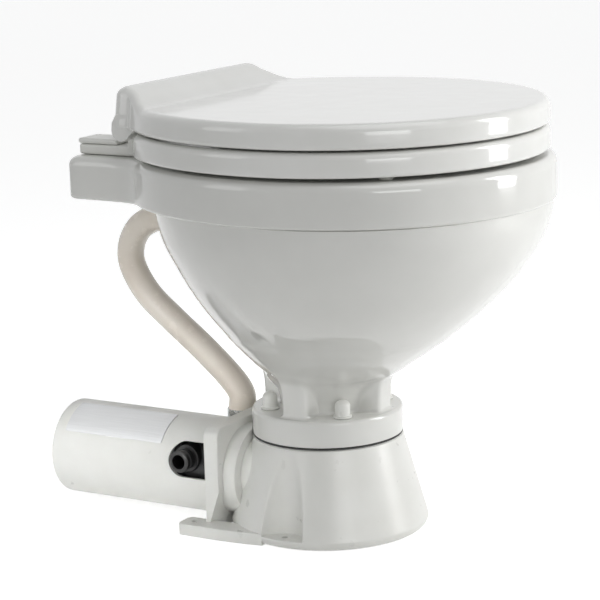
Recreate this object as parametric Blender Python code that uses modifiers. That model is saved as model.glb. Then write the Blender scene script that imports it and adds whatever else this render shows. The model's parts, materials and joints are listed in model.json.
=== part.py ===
# Compact marine electric toilet: a china bowl on a hollow moulded foot, with a motor-driven pump behind it.
# Metres, +Z up, the front of the bowl towards -Y. The origin is the centre of the foot on the floor.
from math import acos, asin, atan2, cos, pi, radians, sin, sqrt

import bmesh
import bpy
from mathutils import Vector

for old_object in list(bpy.data.objects):
    bpy.data.objects.remove(old_object, do_unlink=True)

# Clearances and counts that several pieces share
GAP = 0.0003
OVERRUN = 0.004
MERGE = 0.00005
FINE = 36
ROUND = 24
SMALL = 16
TINY = 12
SMOOTH_ANGLE = radians(35)
SIDES = {"left": -1, "right": 1}

# Foot: a hollow cone with a flat ring on top and a round-edged lower rim
FOOT_RADIUS = 0.0885
FOOT_EDGE = 0.008
CONE_TOP_RADIUS = 0.067
CONE_HEIGHT = 0.0855
CONE_WALL = 0.004
TOP_PLATE = 0.008
SUMP_RADIUS = 0.040
SUMP_WALL = 0.004
SUMP_FLOOR = 0.022
SUMP_BOTTOM_THICKNESS = 0.005
RIB_WIDTH = 0.010

# Arched recesses for the floor screws, on both sides of the foot
RECESS_RADIUS = 0.0217
RECESS_CENTRE = 0.0907
RECESS_FLOOR = 0.009
SCREW_HOLE_RADIUS = 0.0028
RECESS_HOLE_X = 0.0790

# Rear lugs beside the bracket plate
LUG_OUTER_X = 0.090
LUG_INNER_X = 0.067
LUG_END_Y = 0.107
LUG_HEIGHT = 0.0105
LUG_HOLE_Y = 0.095

# Bracket plate that carries the pump
PLATE_HALF = 0.075
PLATE_FRONT_Y = 0.070
PLATE_BACK_Y = 0.085
PLATE_TOP = 0.097
PLATE_CORNER = 0.010
PLATE_TAPER_TOP = 0.040
PLATE_FOOT_THICKNESS = 0.004

# Pump line: the axis that the motor, the pump and the macerator share
PUMP_X = -0.028
PUMP_Z = 0.050
HOUSING_RADIUS = 0.041
HOUSING_FRONT_Y = 0.057
HOUSING_NECK_RADIUS = 0.031
HOUSING_NECK_Y = 0.0455
CHAMBER_RADIUS = 0.031
CHAMBER_FRONT_Y = 0.058
CHAMBER_WALL = 0.004
PASSAGE_RADIUS = 0.016
PASSAGE_WALL = 0.0045

# Discharge branch on the right of the housing
DISCHARGE_Y = 0.0705
DISCHARGE_Z = 0.066
DISCHARGE_RADIUS = 0.0135
DISCHARGE_BORE = 0.0100
DISCHARGE_END_X = 0.0765
SPIGOT_RADIUS = 0.0115
SPIGOT_LENGTH = 0.008

# Gasket, flange and the four bolts that hold the bowl
GASKET_THICKNESS = 0.0016
FLANGE_RADIUS = 0.0675
FLANGE_THICKNESS = 0.0233
FLANGE_EDGE = 0.003
BOLT_CIRCLE = 0.0525
BOLT_RADIUS = 0.0030
BOLT_HOLE_RADIUS = 0.0036
BOLT_HEAD_RADIUS = 0.0050
BOLT_HEAD_HEIGHT = 0.0038
BOLT_COUNT = 4
BOLT_REACH = 0.008
NUT_FLANGE_RADIUS = 0.0082
NUT_FLANGE_HEIGHT = 0.0018
NUT_RADIUS = 0.0066
NUT_HEIGHT = 0.0155
NUT_DOME_HEIGHT = 0.0050
NUT_BORE_DEPTH = 0.0100

# Bowl: neck, pillars, body sections and rim
DRAIN_RADIUS = 0.030
NECK_RADIUS = 0.0415
NECK_FLARE_RADIUS = 0.0510
PILLAR_WIDTH = 0.028
PILLAR_REACH = 0.0595
PILLAR_INNER = 0.036
PILLAR_HEIGHT = 0.039
PILLAR_EDGE = 0.006
BOWL_HEIGHT = 0.227
BAND_HEIGHT = 0.038
BAND_EDGE = 0.003
BAND_TOP_EDGE = 0.008
BAND_HALF_WIDTH = 0.172
BAND_FRONT = 0.179
BAND_CENTRE_Y = -0.0305
DECK_HALF_WIDTH = 0.104
DECK_BACK_Y = 0.200
DECK_LENGTH = 0.0812
DECK_CORNER = 0.010
DECK_POCKET_RADIUS = 0.0180
DECK_POCKET_DEPTH = 0.0200

# Outside sections of the body, in shares: height from the flange to the band, half width of the band's,
# front of the band's front, and back of the deck's back
BODY_SHARES = (
    (0.185, 0.355, 0.322, 0.279),
    (0.238, 0.430, 0.401, 0.325),
    (0.317, 0.529, 0.509, 0.391),
    (0.397, 0.619, 0.606, 0.454),
    (0.503, 0.727, 0.717, 0.526),
    (0.608, 0.814, 0.811, 0.588),
    (0.714, 0.884, 0.886, 0.641),
    (0.820, 0.939, 0.944, 0.689),
    (0.926, 0.974, 0.976, 0.713),
    (0.997, 0.983, 0.983, 0.720),
)
# Inside sections, from the rim's inner edge down to the drain, with heights as shares of the whole bowl
BASIN_SHARES = (
    (1.000, 0.779, 0.835, 0.533),
    (0.980, 0.747, 0.809, 0.505),
    (0.912, 0.738, 0.802, 0.498),
    (0.872, 0.756, 0.816, 0.510),
    (0.855, 0.826, 0.874, 0.565),
    (0.819, 0.878, 0.907, 0.600),
    (0.722, 0.866, 0.883, 0.600),
    (0.612, 0.808, 0.816, 0.565),
    (0.502, 0.715, 0.711, 0.505),
    (0.392, 0.593, 0.578, 0.425),
    (0.304, 0.454, 0.425, 0.325),
    (0.242, 0.302, 0.272, 0.220),
    (0.198, 0.204, 0.172, 0.170),
)
CENTRE_SHARE = 0.48

# Flush inlet at the back of the bowl, and the hose to it
INLET_DROP = 0.032
INLET_BOSS_RADIUS = 0.0190
INLET_BOSS_Y = 0.1460
INLET_BOSS_ROOT_Y = 0.1290
INLET_HOLE_RADIUS = 0.0124
INLET_INSIDE_Y = 0.1100
SEAL_LIP_RADIUS = 0.0165
SEAL_LIP = 0.0020
BARB_RADIUS = 0.0088
BARB_RIDGE = 0.0004
BARB_BORE = 0.0068
BARB_LENGTH = 0.016
HOSE_RADIUS = 0.0125
HOSE_BORE = 0.0098
CLAMP_WIDTH = 0.009
CLAMP_THICKNESS = 0.0011
CLAMP_BOX = (0.016, 0.0085, 0.0065)
CLAMP_SCREW_RADIUS = 0.0030
CLAMP_SCREW_LENGTH = 0.022
CLAMP_INSET = 0.007

# Route of the hose after its straight start, in shares: across to the pump's outlet, back to the
# furthest place, and height from the hose's lower end to the bowl's inlet
HOSE_BACK_Y = 0.207
HOSE_SHARES = (
    (0.000, 0.865, 0.995),
    (0.000, 0.947, 0.944),
    (0.053, 1.000, 0.851),
    (0.105, 1.000, 0.745),
    (0.263, 0.932, 0.609),
    (0.474, 0.814, 0.484),
    (0.737, 0.679, 0.351),
    (0.947, 0.553, 0.215),
)

# Pump head behind the bracket plate
SEAL_PLATE_RADIUS = 0.0370
SEAL_PLATE_THICKNESS = 0.0040
SEAL_PLATE_SPIGOT = 0.0050
SEAL_PLATE_FIT = 0.0005
SEAL_POCKET_RADIUS = 0.0098
SEAL_POCKET_DEPTH = 0.0060
O_RING_WIDTH = 0.0022
O_RING_DEPTH = 0.0020
WEAR_PLATE_THICKNESS = 0.0010
PUMP_BODY_RADIUS = 0.0340
PUMP_BODY_LENGTH = 0.0280
PUMP_FLANGE_LENGTH = 0.0055
PUMP_CHAMBER_RADIUS = 0.0235
PUMP_CHAMBER_DEPTH = 0.0265
PUMP_INLET_Y = 0.1105
PUMP_INLET_Z = 0.0630
PUMP_INLET_END_X = -0.0775
PORT_RADIUS = 0.0093
PORT_BORE = 0.0066
PORT_COLLAR_RADIUS = 0.0125
PORT_COLLAR_END_X = -0.0640
PORT_LIP = 0.0006
PORT_LIP_LENGTH = 0.003
OUTLET_X = 0.0190
OUTLET_Y = 0.1030
OUTLET_Z = 0.0560
OUTLET_TOP_Z = 0.0960
HOSE_END_Z = 0.0800

# Motor
CAN_RADIUS = 0.0399
CAN_WALL = 0.0022
CAN_END_Y = 0.2425
BELL_THICKNESS = 0.0090
BELL_RIM_LENGTH = 0.0120
BUSH_RADIUS = 0.0080
BUSH_LENGTH = 0.0080
SHAFT_RADIUS = 0.0040
SHAFT_FRONT_Y = 0.0500
BRUSH_Y = 0.1500
BRUSH_SIZE = (0.0120, 0.0080, 0.0050)
BRUSH_HOLDER_WALL = 0.0020
BRUSH_HOLDER_REACH = 0.0320
COMMUTATOR_RADIUS = 0.0110
COMMUTATOR_LENGTH = 0.0150
COMMUTATOR_BARS = 12
BAR_SLOT = 0.0008
ARMATURE_RADIUS = 0.0270
ARMATURE_START_Y = 0.1640
ARMATURE_LENGTH = 0.0520
ARMATURE_SLOTS = 10
ARMATURE_SLOT_DEPTH = 0.0090
ARMATURE_SLOT_WIDTH = 0.0040
MAGNET_THICKNESS = 0.0060
MAGNET_HALF_ANGLE = radians(62)
MAGNET_START_Y = 0.1610
MAGNET_LENGTH = 0.0580
MAGNET_STEPS = 10

# Motor cover
COVER_RADIUS = 0.0438
COVER_WALL = 0.0030
COVER_END_Y = 0.2572
COVER_END_WALL = 0.0030
COVER_EDGE = 0.0020
WINDOW_HALF_HEIGHT = 0.0155
OUTLET_WINDOW_HALF_HEIGHT = 0.0175
GLAND_Z = 0.0280
GLAND_HOLE_RADIUS = 0.0062
GLAND_LIP = 0.0022
GLAND_LIP_LENGTH = 0.0030
GLAND_BORE = 0.0026
LABEL_THICKNESS = 0.0006
LABEL_START_Y = 0.1370
LABEL_END_Y = 0.2440
LABEL_START_ANGLE = radians(100)
LABEL_END_ANGLE = radians(147)
LABEL_STEPS = 8

# Impellers and blade
BLADE_Y = 0.0520
BLADE_THICKNESS = 0.0030
BLADE_REACH = 0.0142
BLADE_WIDTH = 0.0070
BLADE_HUB_RADIUS = 0.0075
BLADE_HUB_LENGTH = 0.0060
WASTE_DISC_Y = 0.0765
WASTE_DISC_THICKNESS = 0.0025
WASTE_RADIUS = 0.0265
WASTE_HUB_RADIUS = 0.0085
WASTE_VANES = 4
WASTE_VANE_LENGTH = 0.0140
VANE_THICKNESS = 0.0030
FLEX_VANES = 6
FLEX_RADIUS = 0.0229
FLEX_HUB_RADIUS = 0.0105
FLEX_LENGTH = 0.0225

# Discharge elbow and its valve
ELBOW_WALL = 0.0030
ELBOW_BEND_RADIUS = 0.0170
ELBOW_LEG_END_Y = 0.1260
ELBOW_BARB_RADIUS = 0.0130
ELBOW_BARB_BORE = 0.0105
ELBOW_BARB_RIDGE = 0.0006
ELBOW_BARB_PITCH = 0.0050
DISCHARGE_RING_THICKNESS = 0.0024
VALVE_FLANGE_LENGTH = 0.0030
VALVE_LENGTH = 0.0210
VALVE_WALL = 0.0016
VALVE_LIP_RADIUS = 0.0036

# Seat
SEAT_LIFT = 0.0035
SEAT_THICKNESS = 0.0205
SEAT_HALF_WIDTH = 0.172
SEAT_FRONT = 0.173
SEAT_CENTRE_Y = -0.030
SEAT_TAIL_Y = 0.1225
SEAT_CORNER = 0.010
SEAT_OPENING_HALF = 0.101
SEAT_OPENING_FRONT_Y = -0.150
SEAT_OPENING_BACK_Y = 0.080
SEAT_EDGE = 0.006
SEAT_BUFFER_RADIUS = 0.007
SEAT_BUFFER_SHARES = ((0.709, -0.590), (0.744, 0.405))

# Lid, with its top raised towards the hinge
LID_GAP = 0.0020
LID_THICKNESS = 0.0210
LID_RISE = 0.0160
LID_RISE_START_Y = 0.098
LID_RISE_END_Y = 0.136
LID_TAIL_HALF = 0.108
LID_TAIL_Y = 0.1455
LID_TAIL_LENGTH = 0.0257
LID_TAIL_LEAN = 0.0030
LID_TAIL_DRAW = 0.0030
LID_CORNER = 0.009
LID_EDGE = 0.0075
LID_RECESS_DEPTH = 0.006
LID_RECESS_MARGIN = 0.026
LID_TOP_SHARES = (0.84, 0.64, 0.42, 0.18)
LID_BUFFER_RADIUS = 0.006
LID_BUFFER_SHARES = ((0.744, -0.318),)

# Hinges
PIVOT_Y = 0.1360
PIVOT_LIFT = 0.0015
BLOCK_INNER_X = 0.0615
BLOCK_OUTER_X = 0.0895
BLOCK_BACK_Y = 0.1940
BLOCK_HEIGHT = 0.0095
BLOCK_EDGE = 0.0025
BLOCK_KNUCKLE_RADIUS = 0.0085
BLOCK_EAR_HALF = 0.0055
LID_KNUCKLE_RADIUS = 0.0095
LID_KNUCKLE_OUTER_X = 0.1075
SEAT_EAR_INNER_X = 0.0455
SEAT_EAR_RADIUS = 0.0090
SEAT_EAR_BOTTOM = 0.0155
SEAT_EAR_ROOT_Y = 0.1060
HINGE_SIDE_GAP = 0.0010
PIN_RADIUS = 0.0030
PIN_HOLE_RADIUS = 0.0033
PIN_END_X = 0.1035
HINGE_BOLT_Y = 0.1720
HINGE_BOLT_RADIUS = 0.0038
HINGE_BOLT_HOLE_RADIUS = 0.0042
DECK_HOLE_RADIUS = 0.0060
HINGE_HEAD_RADIUS = 0.0078
HINGE_HEAD_HEIGHT = 0.0035
HINGE_BOLT_LENGTH = 0.0330
CAP_FRONT_Y = 0.1530
CAP_HEIGHT = 0.0050
CAP_OVERHANG = 0.0005
WING_NUT_RADIUS = 0.0095
WING_NUT_HEIGHT = 0.0070
WING_REACH = 0.0150
WING_WIDTH = 0.0035
WING_HEIGHT = 0.0130

# Heights that follow from the pieces stacked on each other
FLANGE_BOTTOM = CONE_HEIGHT + GASKET_THICKNESS + 2 * GAP
FLANGE_TOP = FLANGE_BOTTOM + FLANGE_THICKNESS
RIM_TOP = FLANGE_TOP + BOWL_HEIGHT
BAND_BOTTOM = RIM_TOP - BAND_HEIGHT
BAND_FRONT_Y = BAND_CENTRE_Y - BAND_FRONT
INLET_Z = BAND_BOTTOM - INLET_DROP
SEAT_BOTTOM = RIM_TOP + SEAT_LIFT
SEAT_TOP = SEAT_BOTTOM + SEAT_THICKNESS
LID_BOTTOM = SEAT_TOP + LID_GAP
LID_TOP = LID_BOTTOM + LID_THICKNESS
LID_BACK_TOP = LID_TOP + LID_RISE
PIVOT_Z = SEAT_TOP + PIVOT_LIFT
BLOCK_TOP = RIM_TOP + BLOCK_HEIGHT
CAP_TOP = BLOCK_TOP + CAP_HEIGHT
CAVITY_TOP = CONE_HEIGHT - TOP_PLATE
PUMP_LINE = (PUMP_X, 0, PUMP_Z)
DISCHARGE_LINE = (0, DISCHARGE_Y, DISCHARGE_Z)
SEAL_PLATE_Y = PLATE_BACK_Y + GAP
WEAR_PLATE_Y = SEAL_PLATE_Y + SEAL_PLATE_THICKNESS + GAP
PUMP_BODY_Y = WEAR_PLATE_Y + WEAR_PLATE_THICKNESS + GAP
PUMP_BODY_END_Y = PUMP_BODY_Y + PUMP_BODY_LENGTH + PUMP_FLANGE_LENGTH
BELL_Y = PUMP_BODY_END_Y + GAP
BELL_END_Y = BELL_Y + BELL_THICKNESS
CAN_START_Y = BELL_END_Y + BELL_RIM_LENGTH + GAP
SHAFT_BORE = SHAFT_RADIUS + GAP
HOSE_START_Y = INLET_BOSS_Y + 2 * SEAL_LIP + 3 * GAP
RAIL_Z = PIVOT_Z - SEAT_EAR_BOTTOM

model = bpy.data.collections.new("electric_toilet")
cutters = bpy.data.collections.new("cutters")
for group in (model, cutters):
    bpy.context.scene.collection.children.link(group)


def finish(name, colour, roughness, metallic=0.0):
    made = bpy.data.materials.new(name)
    made.use_nodes = True
    shader = made.node_tree.nodes["Principled BSDF"]
    shader.inputs["Base Color"].default_value = (*colour, 1)
    shader.inputs["Roughness"].default_value = roughness
    shader.inputs["Metallic"].default_value = metallic
    return made


LOOKS = {
    "china": ((0.72, 0.73, 0.71), 0.12, 0),
    "enamel": ((0.76, 0.76, 0.73), 0.15, 0),
    "moulding": ((0.74, 0.74, 0.70), 0.30, 0),
    "hose": ((0.80, 0.74, 0.67), 0.25, 0),
    "rubber": ((0.02, 0.02, 0.02), 0.60, 0),
    "pump": ((0.015, 0.015, 0.016), 0.35, 0),
    "steel": ((0.60, 0.60, 0.60), 0.28, 1),
    "bronze": ((0.55, 0.38, 0.18), 0.40, 1),
    "copper": ((0.70, 0.35, 0.20), 0.35, 1),
    "carbon": ((0.05, 0.05, 0.05), 0.50, 0),
    "magnet": ((0.12, 0.11, 0.11), 0.70, 0),
    "zinc": ((0.55, 0.56, 0.57), 0.40, 1),
    "silver": ((0.70, 0.71, 0.72), 0.30, 0.6),
    "clear": ((0.80, 0.80, 0.78), 0.20, 0),
}


def place(thing, name, look=None, cutter=False):
    """Names a new object, gives it its own material and puts it in its collection."""
    thing.name = name
    for home in list(thing.users_collection):
        home.objects.unlink(thing)
    if cutter:
        cutters.objects.link(thing)
        thing.hide_render = True
        thing.display_type = "WIRE"
        return thing
    model.objects.link(thing)
    thing.data.materials.clear()
    thing.data.materials.append(finish(name + "_finish", *LOOKS[look]))
    return thing


TURNS = {"Z": (0, 0, 0), "Y": (-pi / 2, 0, 0), "X": (0, pi / 2, 0)}


def turned(name, look, profile, axis="Z", centre=(0, 0, 0), steps=SMALL, cutter=False):
    """A lathe shape. The profile's points are (radius, place along the axis)."""
    points = list(profile)
    twice_area = 0
    for (r1, h1), (r2, h2) in zip(points, points[1:] + points[:1]):
        twice_area += r1 * h2 - r2 * h1
    if twice_area > 0:
        points.reverse()
    ring = all(radius > MERGE for radius, along in points)
    mesh = bpy.data.meshes.new(name)
    edges = [(i, i + 1) for i in range(len(points) - 1)]
    if ring:
        edges.append((len(points) - 1, 0))
    mesh.from_pydata([(radius, 0, along) for radius, along in points], edges, [])
    thing = bpy.data.objects.new(name, mesh)
    screw = thing.modifiers.new("turn", "SCREW")
    screw.steps = steps
    screw.render_steps = steps
    screw.use_merge_vertices = True
    screw.merge_threshold = MERGE
    thing.rotation_euler = TURNS[axis]
    thing.location = centre
    return place(thing, name, look, cutter)


def rod(name, look, radius, start, end, axis="Z", centre=(0, 0, 0), steps=SMALL, cutter=False):
    """A plain cylinder from start to end along an axis."""
    bpy.ops.mesh.primitive_cylinder_add(vertices=steps, radius=radius, depth=abs(end - start))
    thing = bpy.context.active_object
    along = Vector((axis == "X", axis == "Y", axis == "Z"))
    thing.rotation_euler = TURNS[axis]
    thing.location = Vector(centre) + along * (start + end) / 2
    return place(thing, name, look, cutter)


def tube(name, look, outer, inner, start, end, axis="Z", centre=(0, 0, 0), steps=SMALL, cutter=False):
    profile = [(outer, end), (outer, start), (inner, start), (inner, end)]
    return turned(name, look, profile, axis, centre, steps, cutter)


def slab(name, look, low, high, edge=0, segments=2, cutter=False):
    """A box between two corners, with its edges rounded by edge."""
    bpy.ops.mesh.primitive_cube_add(size=1)
    thing = bpy.context.active_object
    low, high = Vector(low), Vector(high)
    for corner in thing.data.vertices:
        share = corner.co + Vector((0.5, 0.5, 0.5))
        corner.co = low + Vector(s * d for s, d in zip(share, high - low))
    if edge:
        bevel = thing.modifiers.new("edges", "BEVEL")
        bevel.width = edge
        bevel.segments = segments
        bevel.limit_method = "NONE"
    return place(thing, name, look, cutter)


def combine(thing, others, operation):
    for other in others:
        step = thing.modifiers.new(operation.lower(), "BOOLEAN")
        step.operation = operation
        step.solver = "EXACT"
        step.object = other
    return thing


def cut(thing, *others):
    return combine(thing, others, "DIFFERENCE")


def join(thing, *others):
    return combine(thing, others, "UNION")


def loft(name, look, rings, loop, cutter=False):
    """Skins a list of rings that all have the same number of points."""
    bm = bmesh.new()
    rows = [[bm.verts.new(point) for point in ring] for ring in rings]
    pairs = list(zip(rows, rows[1:]))
    if loop:
        pairs.append((rows[-1], rows[0]))
    else:
        bm.faces.new(rows[0])
        bm.faces.new(rows[-1])
    count = len(rings[0])
    for lower, upper in pairs:
        for i in range(count):
            j = (i + 1) % count
            bm.faces.new((lower[i], lower[j], upper[j], upper[i]))
    bmesh.ops.recalc_face_normals(bm, faces=bm.faces)
    mesh = bpy.data.meshes.new(name)
    bm.to_mesh(mesh)
    bm.free()
    return place(bpy.data.objects.new(name, mesh), name, look, cutter)


def prism(name, look, outline, start, end, axis="Y", centre=(0, 0, 0), cutter=False):
    """A flat outline pushed along an axis. Outline points are the two other directions in turn."""
    def spot(point, along):
        across, up = point
        flat = {"X": (along, across, up), "Y": (across, along, up), "Z": (across, up, along)}[axis]
        return Vector(centre) + Vector(flat)
    rings = [[spot(point, along) for point in outline] for along in (start, end)]
    return loft(name, look, rings, False, cutter)


def solid_mesh(thing):
    """Swaps a curve for a mesh with its caps welded, so that it can be cut or joined."""
    bpy.context.view_layer.update()
    graph = bpy.context.evaluated_depsgraph_get()
    mesh = bpy.data.meshes.new_from_object(thing.evaluated_get(graph))
    bm = bmesh.new()
    bm.from_mesh(mesh)
    bmesh.ops.remove_doubles(bm, verts=bm.verts, dist=MERGE)
    bmesh.ops.recalc_face_normals(bm, faces=bm.faces)
    bm.to_mesh(mesh)
    bm.free()
    made = bpy.data.objects.new(thing.name, mesh)
    made.matrix_world = thing.matrix_world
    bpy.data.objects.remove(thing, do_unlink=True)
    return made


def pipe(name, look, points, radius, sides, cutter=False):
    """A round bar through the points. sides is 8 or 12."""
    curve = bpy.data.curves.new(name, "CURVE")
    curve.dimensions = "3D"
    curve.bevel_depth = radius
    curve.bevel_resolution = sides // 2 - 2
    curve.use_fill_caps = True
    line = curve.splines.new("POLY")
    line.points.add(len(points) - 1)
    for spot, point in zip(line.points, points):
        spot.co = (*point, 1)
    thing = bpy.data.objects.new(name, curve)
    bpy.context.scene.collection.objects.link(thing)
    return place(solid_mesh(thing), name, look, cutter)


def smooth_route(points, per_span):
    """Points on a smooth curve that passes through the given ones."""
    ends = [points[0] * 2 - points[1]] + points + [points[-1] * 2 - points[-2]]
    out = []
    for a, b, c, d in zip(ends, ends[1:], ends[2:], ends[3:]):
        for i in range(per_span):
            t = i / per_span
            near = b * 2 + (c - a) * t
            far = (a * 2 - b * 5 + c * 4 - d) * t * t + (b * 3 - a - c * 3 + d) * t * t * t
            out.append((near + far) / 2)
    return out + [points[-1]]


# Outlines in plan
ARC_STEPS = 12
NECK_SHARES = ((1.035, 0.20), (1.008, 0.45))
CORNER_STEPS = 3
INSET_SHARE = 0.6
DECK_MEET_SHARE = 1.10
LID_MEET_SHARE = 1.055


def side_curve(width, front, back, centre, turn):
    """The right side of an oval, from its front to an angle past its widest place."""
    half = [(0, centre - front)]
    for i in range(1, ARC_STEPS + 1):
        angle = -pi / 2 + (pi / 2 + turn) * i / ARC_STEPS
        reach = front if angle < 0 else back
        half.append((width * cos(angle), centre + reach * sin(angle)))
    return half


def back_reach(width, centre, meet_x, meet_y):
    """How far back the oval reaches whose side passes through a point."""
    return (meet_y - centre) / sin(acos(meet_x / width))


def mirrored(half):
    return half + [(-x, y) for x, y in reversed(half[1:-1])]


def tailed(width, front, centre, meet_x, meet_y, tail_half, tail_y, corner):
    """An oval that runs into a straight-sided tail at the back, as the rim and the lid have."""
    back = back_reach(width, centre, meet_x, meet_y)
    half = side_curve(width, front, back, centre, acos(meet_x / width))
    straight = tail_y - corner - meet_y
    for x_share, y_share in NECK_SHARES:
        half.append((tail_half * x_share, meet_y + straight * y_share))
    for i in range(CORNER_STEPS + 1):
        angle = pi / 2 * i / CORNER_STEPS
        half.append((tail_half - corner + corner * cos(angle), tail_y - corner + corner * sin(angle)))
    return mirrored(half + [(0, tail_y)])


def cropped(width, front, back, centre, tail_y, corner):
    """The same oval cut straight across the back, with soft corners, as the seat has."""
    turn = asin((tail_y - corner - centre) / back)
    half = side_curve(width, front, back, centre, turn)
    start_x, start_y = half[-1]
    control_x = start_x - corner * width * sin(turn) / (back * cos(turn))
    for i in range(1, CORNER_STEPS + 1):
        t = i / CORNER_STEPS
        x = start_x * (1 - t) ** 2 + 2 * control_x * t * (1 - t) + (start_x - 2 * corner) * t * t
        half.append((x, start_y + corner * (1 - (1 - t) ** 2)))
    return mirrored(half + [(0, tail_y)])


def deck_outline(inset):
    tail_half = DECK_HALF_WIDTH - inset
    meet_y = DECK_BACK_Y - DECK_LENGTH - inset * INSET_SHARE
    return tailed(BAND_HALF_WIDTH - inset, BAND_FRONT - inset, BAND_CENTRE_Y, tail_half * DECK_MEET_SHARE,
                  meet_y, tail_half, DECK_BACK_Y - inset, DECK_CORNER)


# Every ring of the bowl has its points in these directions, so the deck's corners run down into the body
DIRECTIONS = [atan2(y - BAND_CENTRE_Y, x) for x, y in deck_outline(0)]


def oval(half_width, front_y, back_y, share=CENTRE_SHARE, directions=DIRECTIONS):
    """Points of an oval in given directions. Its widest place is at a share of its length."""
    centre = front_y + (back_y - front_y) * share
    out = []
    for angle in directions:
        reach = centre - front_y if sin(angle) < 0 else back_y - centre
        r = 1 / sqrt((cos(angle) / half_width) ** 2 + (sin(angle) / reach) ** 2)
        out.append((r * cos(angle), centre + r * sin(angle)))
    return out


def at_height(outline, z):
    return [(x, y, z) for x, y in outline]


def round_ring(radius, z):
    return at_height(oval(radius, -radius, radius, 0.5), z)


# Foot
def foot():
    base = turned("base", "moulding", foot_profile(), steps=FINE)
    join(base, *foot_additions())
    reach = LUG_END_Y + OVERRUN
    cut(base, slab("floor_line", None, (-reach, -reach, -3 * OVERRUN), (reach, reach, 0), cutter=True))
    cut(base, rod("seat_for_flange", None, FLANGE_RADIUS + 2 * GAP, CONE_HEIGHT, PLATE_TOP + OVERRUN,
                  steps=FINE, cutter=True))
    for side, sign in SIDES.items():
        lug_middle = (LUG_OUTER_X + LUG_INNER_X) / 2
        cut(base,
            rod("recess_" + side, None, RECESS_RADIUS, RECESS_FLOOR, CONE_HEIGHT - OVERRUN,
                centre=(sign * RECESS_CENTRE, 0, 0), steps=ROUND, cutter=True),
            rod("recess_hole_" + side, None, SCREW_HOLE_RADIUS, -OVERRUN, RECESS_FLOOR + OVERRUN,
                centre=(sign * RECESS_HOLE_X, 0, 0), steps=TINY, cutter=True),
            rod("lug_hole_" + side, None, SCREW_HOLE_RADIUS, -OVERRUN, LUG_HEIGHT + OVERRUN,
                centre=(sign * lug_middle, LUG_HOLE_Y, 0), steps=TINY, cutter=True))
    cut(base, foot_hollow())
    sump = rod("sump", None, SUMP_RADIUS, SUMP_FLOOR, CONE_HEIGHT + OVERRUN, steps=ROUND, cutter=True)
    passage = rod("passage", None, PASSAGE_RADIUS, SUMP_RADIUS / 3, CHAMBER_FRONT_Y + OVERRUN, "Y",
                  PUMP_LINE, ROUND, True)
    chamber = rod("chamber", None, CHAMBER_RADIUS, CHAMBER_FRONT_Y, PLATE_BACK_Y + OVERRUN, "Y",
                  PUMP_LINE, ROUND, True)
    bore = rod("branch_bore", None, DISCHARGE_BORE, PUMP_X + CHAMBER_RADIUS / 2,
               DISCHARGE_END_X + SPIGOT_LENGTH + OVERRUN, "X", DISCHARGE_LINE, ROUND, True)
    cover_room = rod("cover_room", None, (COVER_RADIUS + GAP) / cos(pi / FINE), PLATE_BACK_Y + GAP / 2,
                     PLATE_BACK_Y + 2 * OVERRUN, "Y", PUMP_LINE, FINE, True)
    cut(base, sump, passage, chamber, bore, cover_room)
    for number, (x, y) in enumerate(bolt_places(), 1):
        cut(base, rod(f"foot_bolt_hole_{number}", None, BOLT_HOLE_RADIUS, CAVITY_TOP - OVERRUN,
                      CONE_HEIGHT + OVERRUN, centre=(x, y, 0), steps=TINY, cutter=True))
    return base


def foot_profile():
    """The foot's outside, made longer than needed at both ends and trimmed later."""
    slope = (FOOT_RADIUS - CONE_TOP_RADIUS) / (CONE_HEIGHT - FOOT_EDGE)
    blank_top = CONE_HEIGHT + OVERRUN
    points = [(0, blank_top), (CONE_TOP_RADIUS - slope * OVERRUN, blank_top)]
    for i in range(4):
        angle = pi / 2 * i / 3
        points.append((FOOT_RADIUS - FOOT_EDGE * (1 - cos(angle)), FOOT_EDGE - FOOT_EDGE * sin(angle)))
    return points + [(FOOT_RADIUS - FOOT_EDGE - OVERRUN, -OVERRUN), (0, -OVERRUN)]


def foot_additions():
    """The bracket plate, the pump housing, the discharge branch and the two lugs."""
    plate = prism("bracket_plate", None, plate_outline(), PLATE_FRONT_Y, PLATE_BACK_Y, cutter=True)
    thin_y = PLATE_BACK_Y - PLATE_FOOT_THICKNESS
    relief = prism("plate_relief", None, [
        (PLATE_FRONT_Y - OVERRUN, PLATE_TAPER_TOP), (PLATE_FRONT_Y, PLATE_TAPER_TOP),
        (thin_y, LUG_HEIGHT * 0.8), (thin_y, -2 * OVERRUN), (PLATE_FRONT_Y - OVERRUN, -2 * OVERRUN),
    ], -PLATE_HALF - OVERRUN, PLATE_HALF + OVERRUN, "X", cutter=True)
    cut(plate, relief)
    inside_plate = PLATE_BACK_Y - PLATE_FOOT_THICKNESS / 2
    housing = rod("housing", None, HOUSING_RADIUS, HOUSING_FRONT_Y, inside_plate, "Y", PUMP_LINE,
                  ROUND, True)
    neck = rod("housing_neck", None, HOUSING_NECK_RADIUS, HOUSING_NECK_Y, inside_plate, "Y",
               PUMP_LINE, ROUND, True)
    spigot_end = DISCHARGE_END_X + SPIGOT_LENGTH
    branch = turned("branch", None, [
        (0, PUMP_X), (DISCHARGE_RADIUS, PUMP_X), (DISCHARGE_RADIUS, DISCHARGE_END_X),
        (SPIGOT_RADIUS, DISCHARGE_END_X), (SPIGOT_RADIUS, spigot_end), (0, spigot_end),
    ], "X", DISCHARGE_LINE, ROUND, True)
    lugs = [prism("lug_" + side, None, lug_outline(sign), -OVERRUN / 3, LUG_HEIGHT, "Z", cutter=True)
            for side, sign in SIDES.items()]
    return [plate, housing, neck, branch] + lugs


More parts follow.
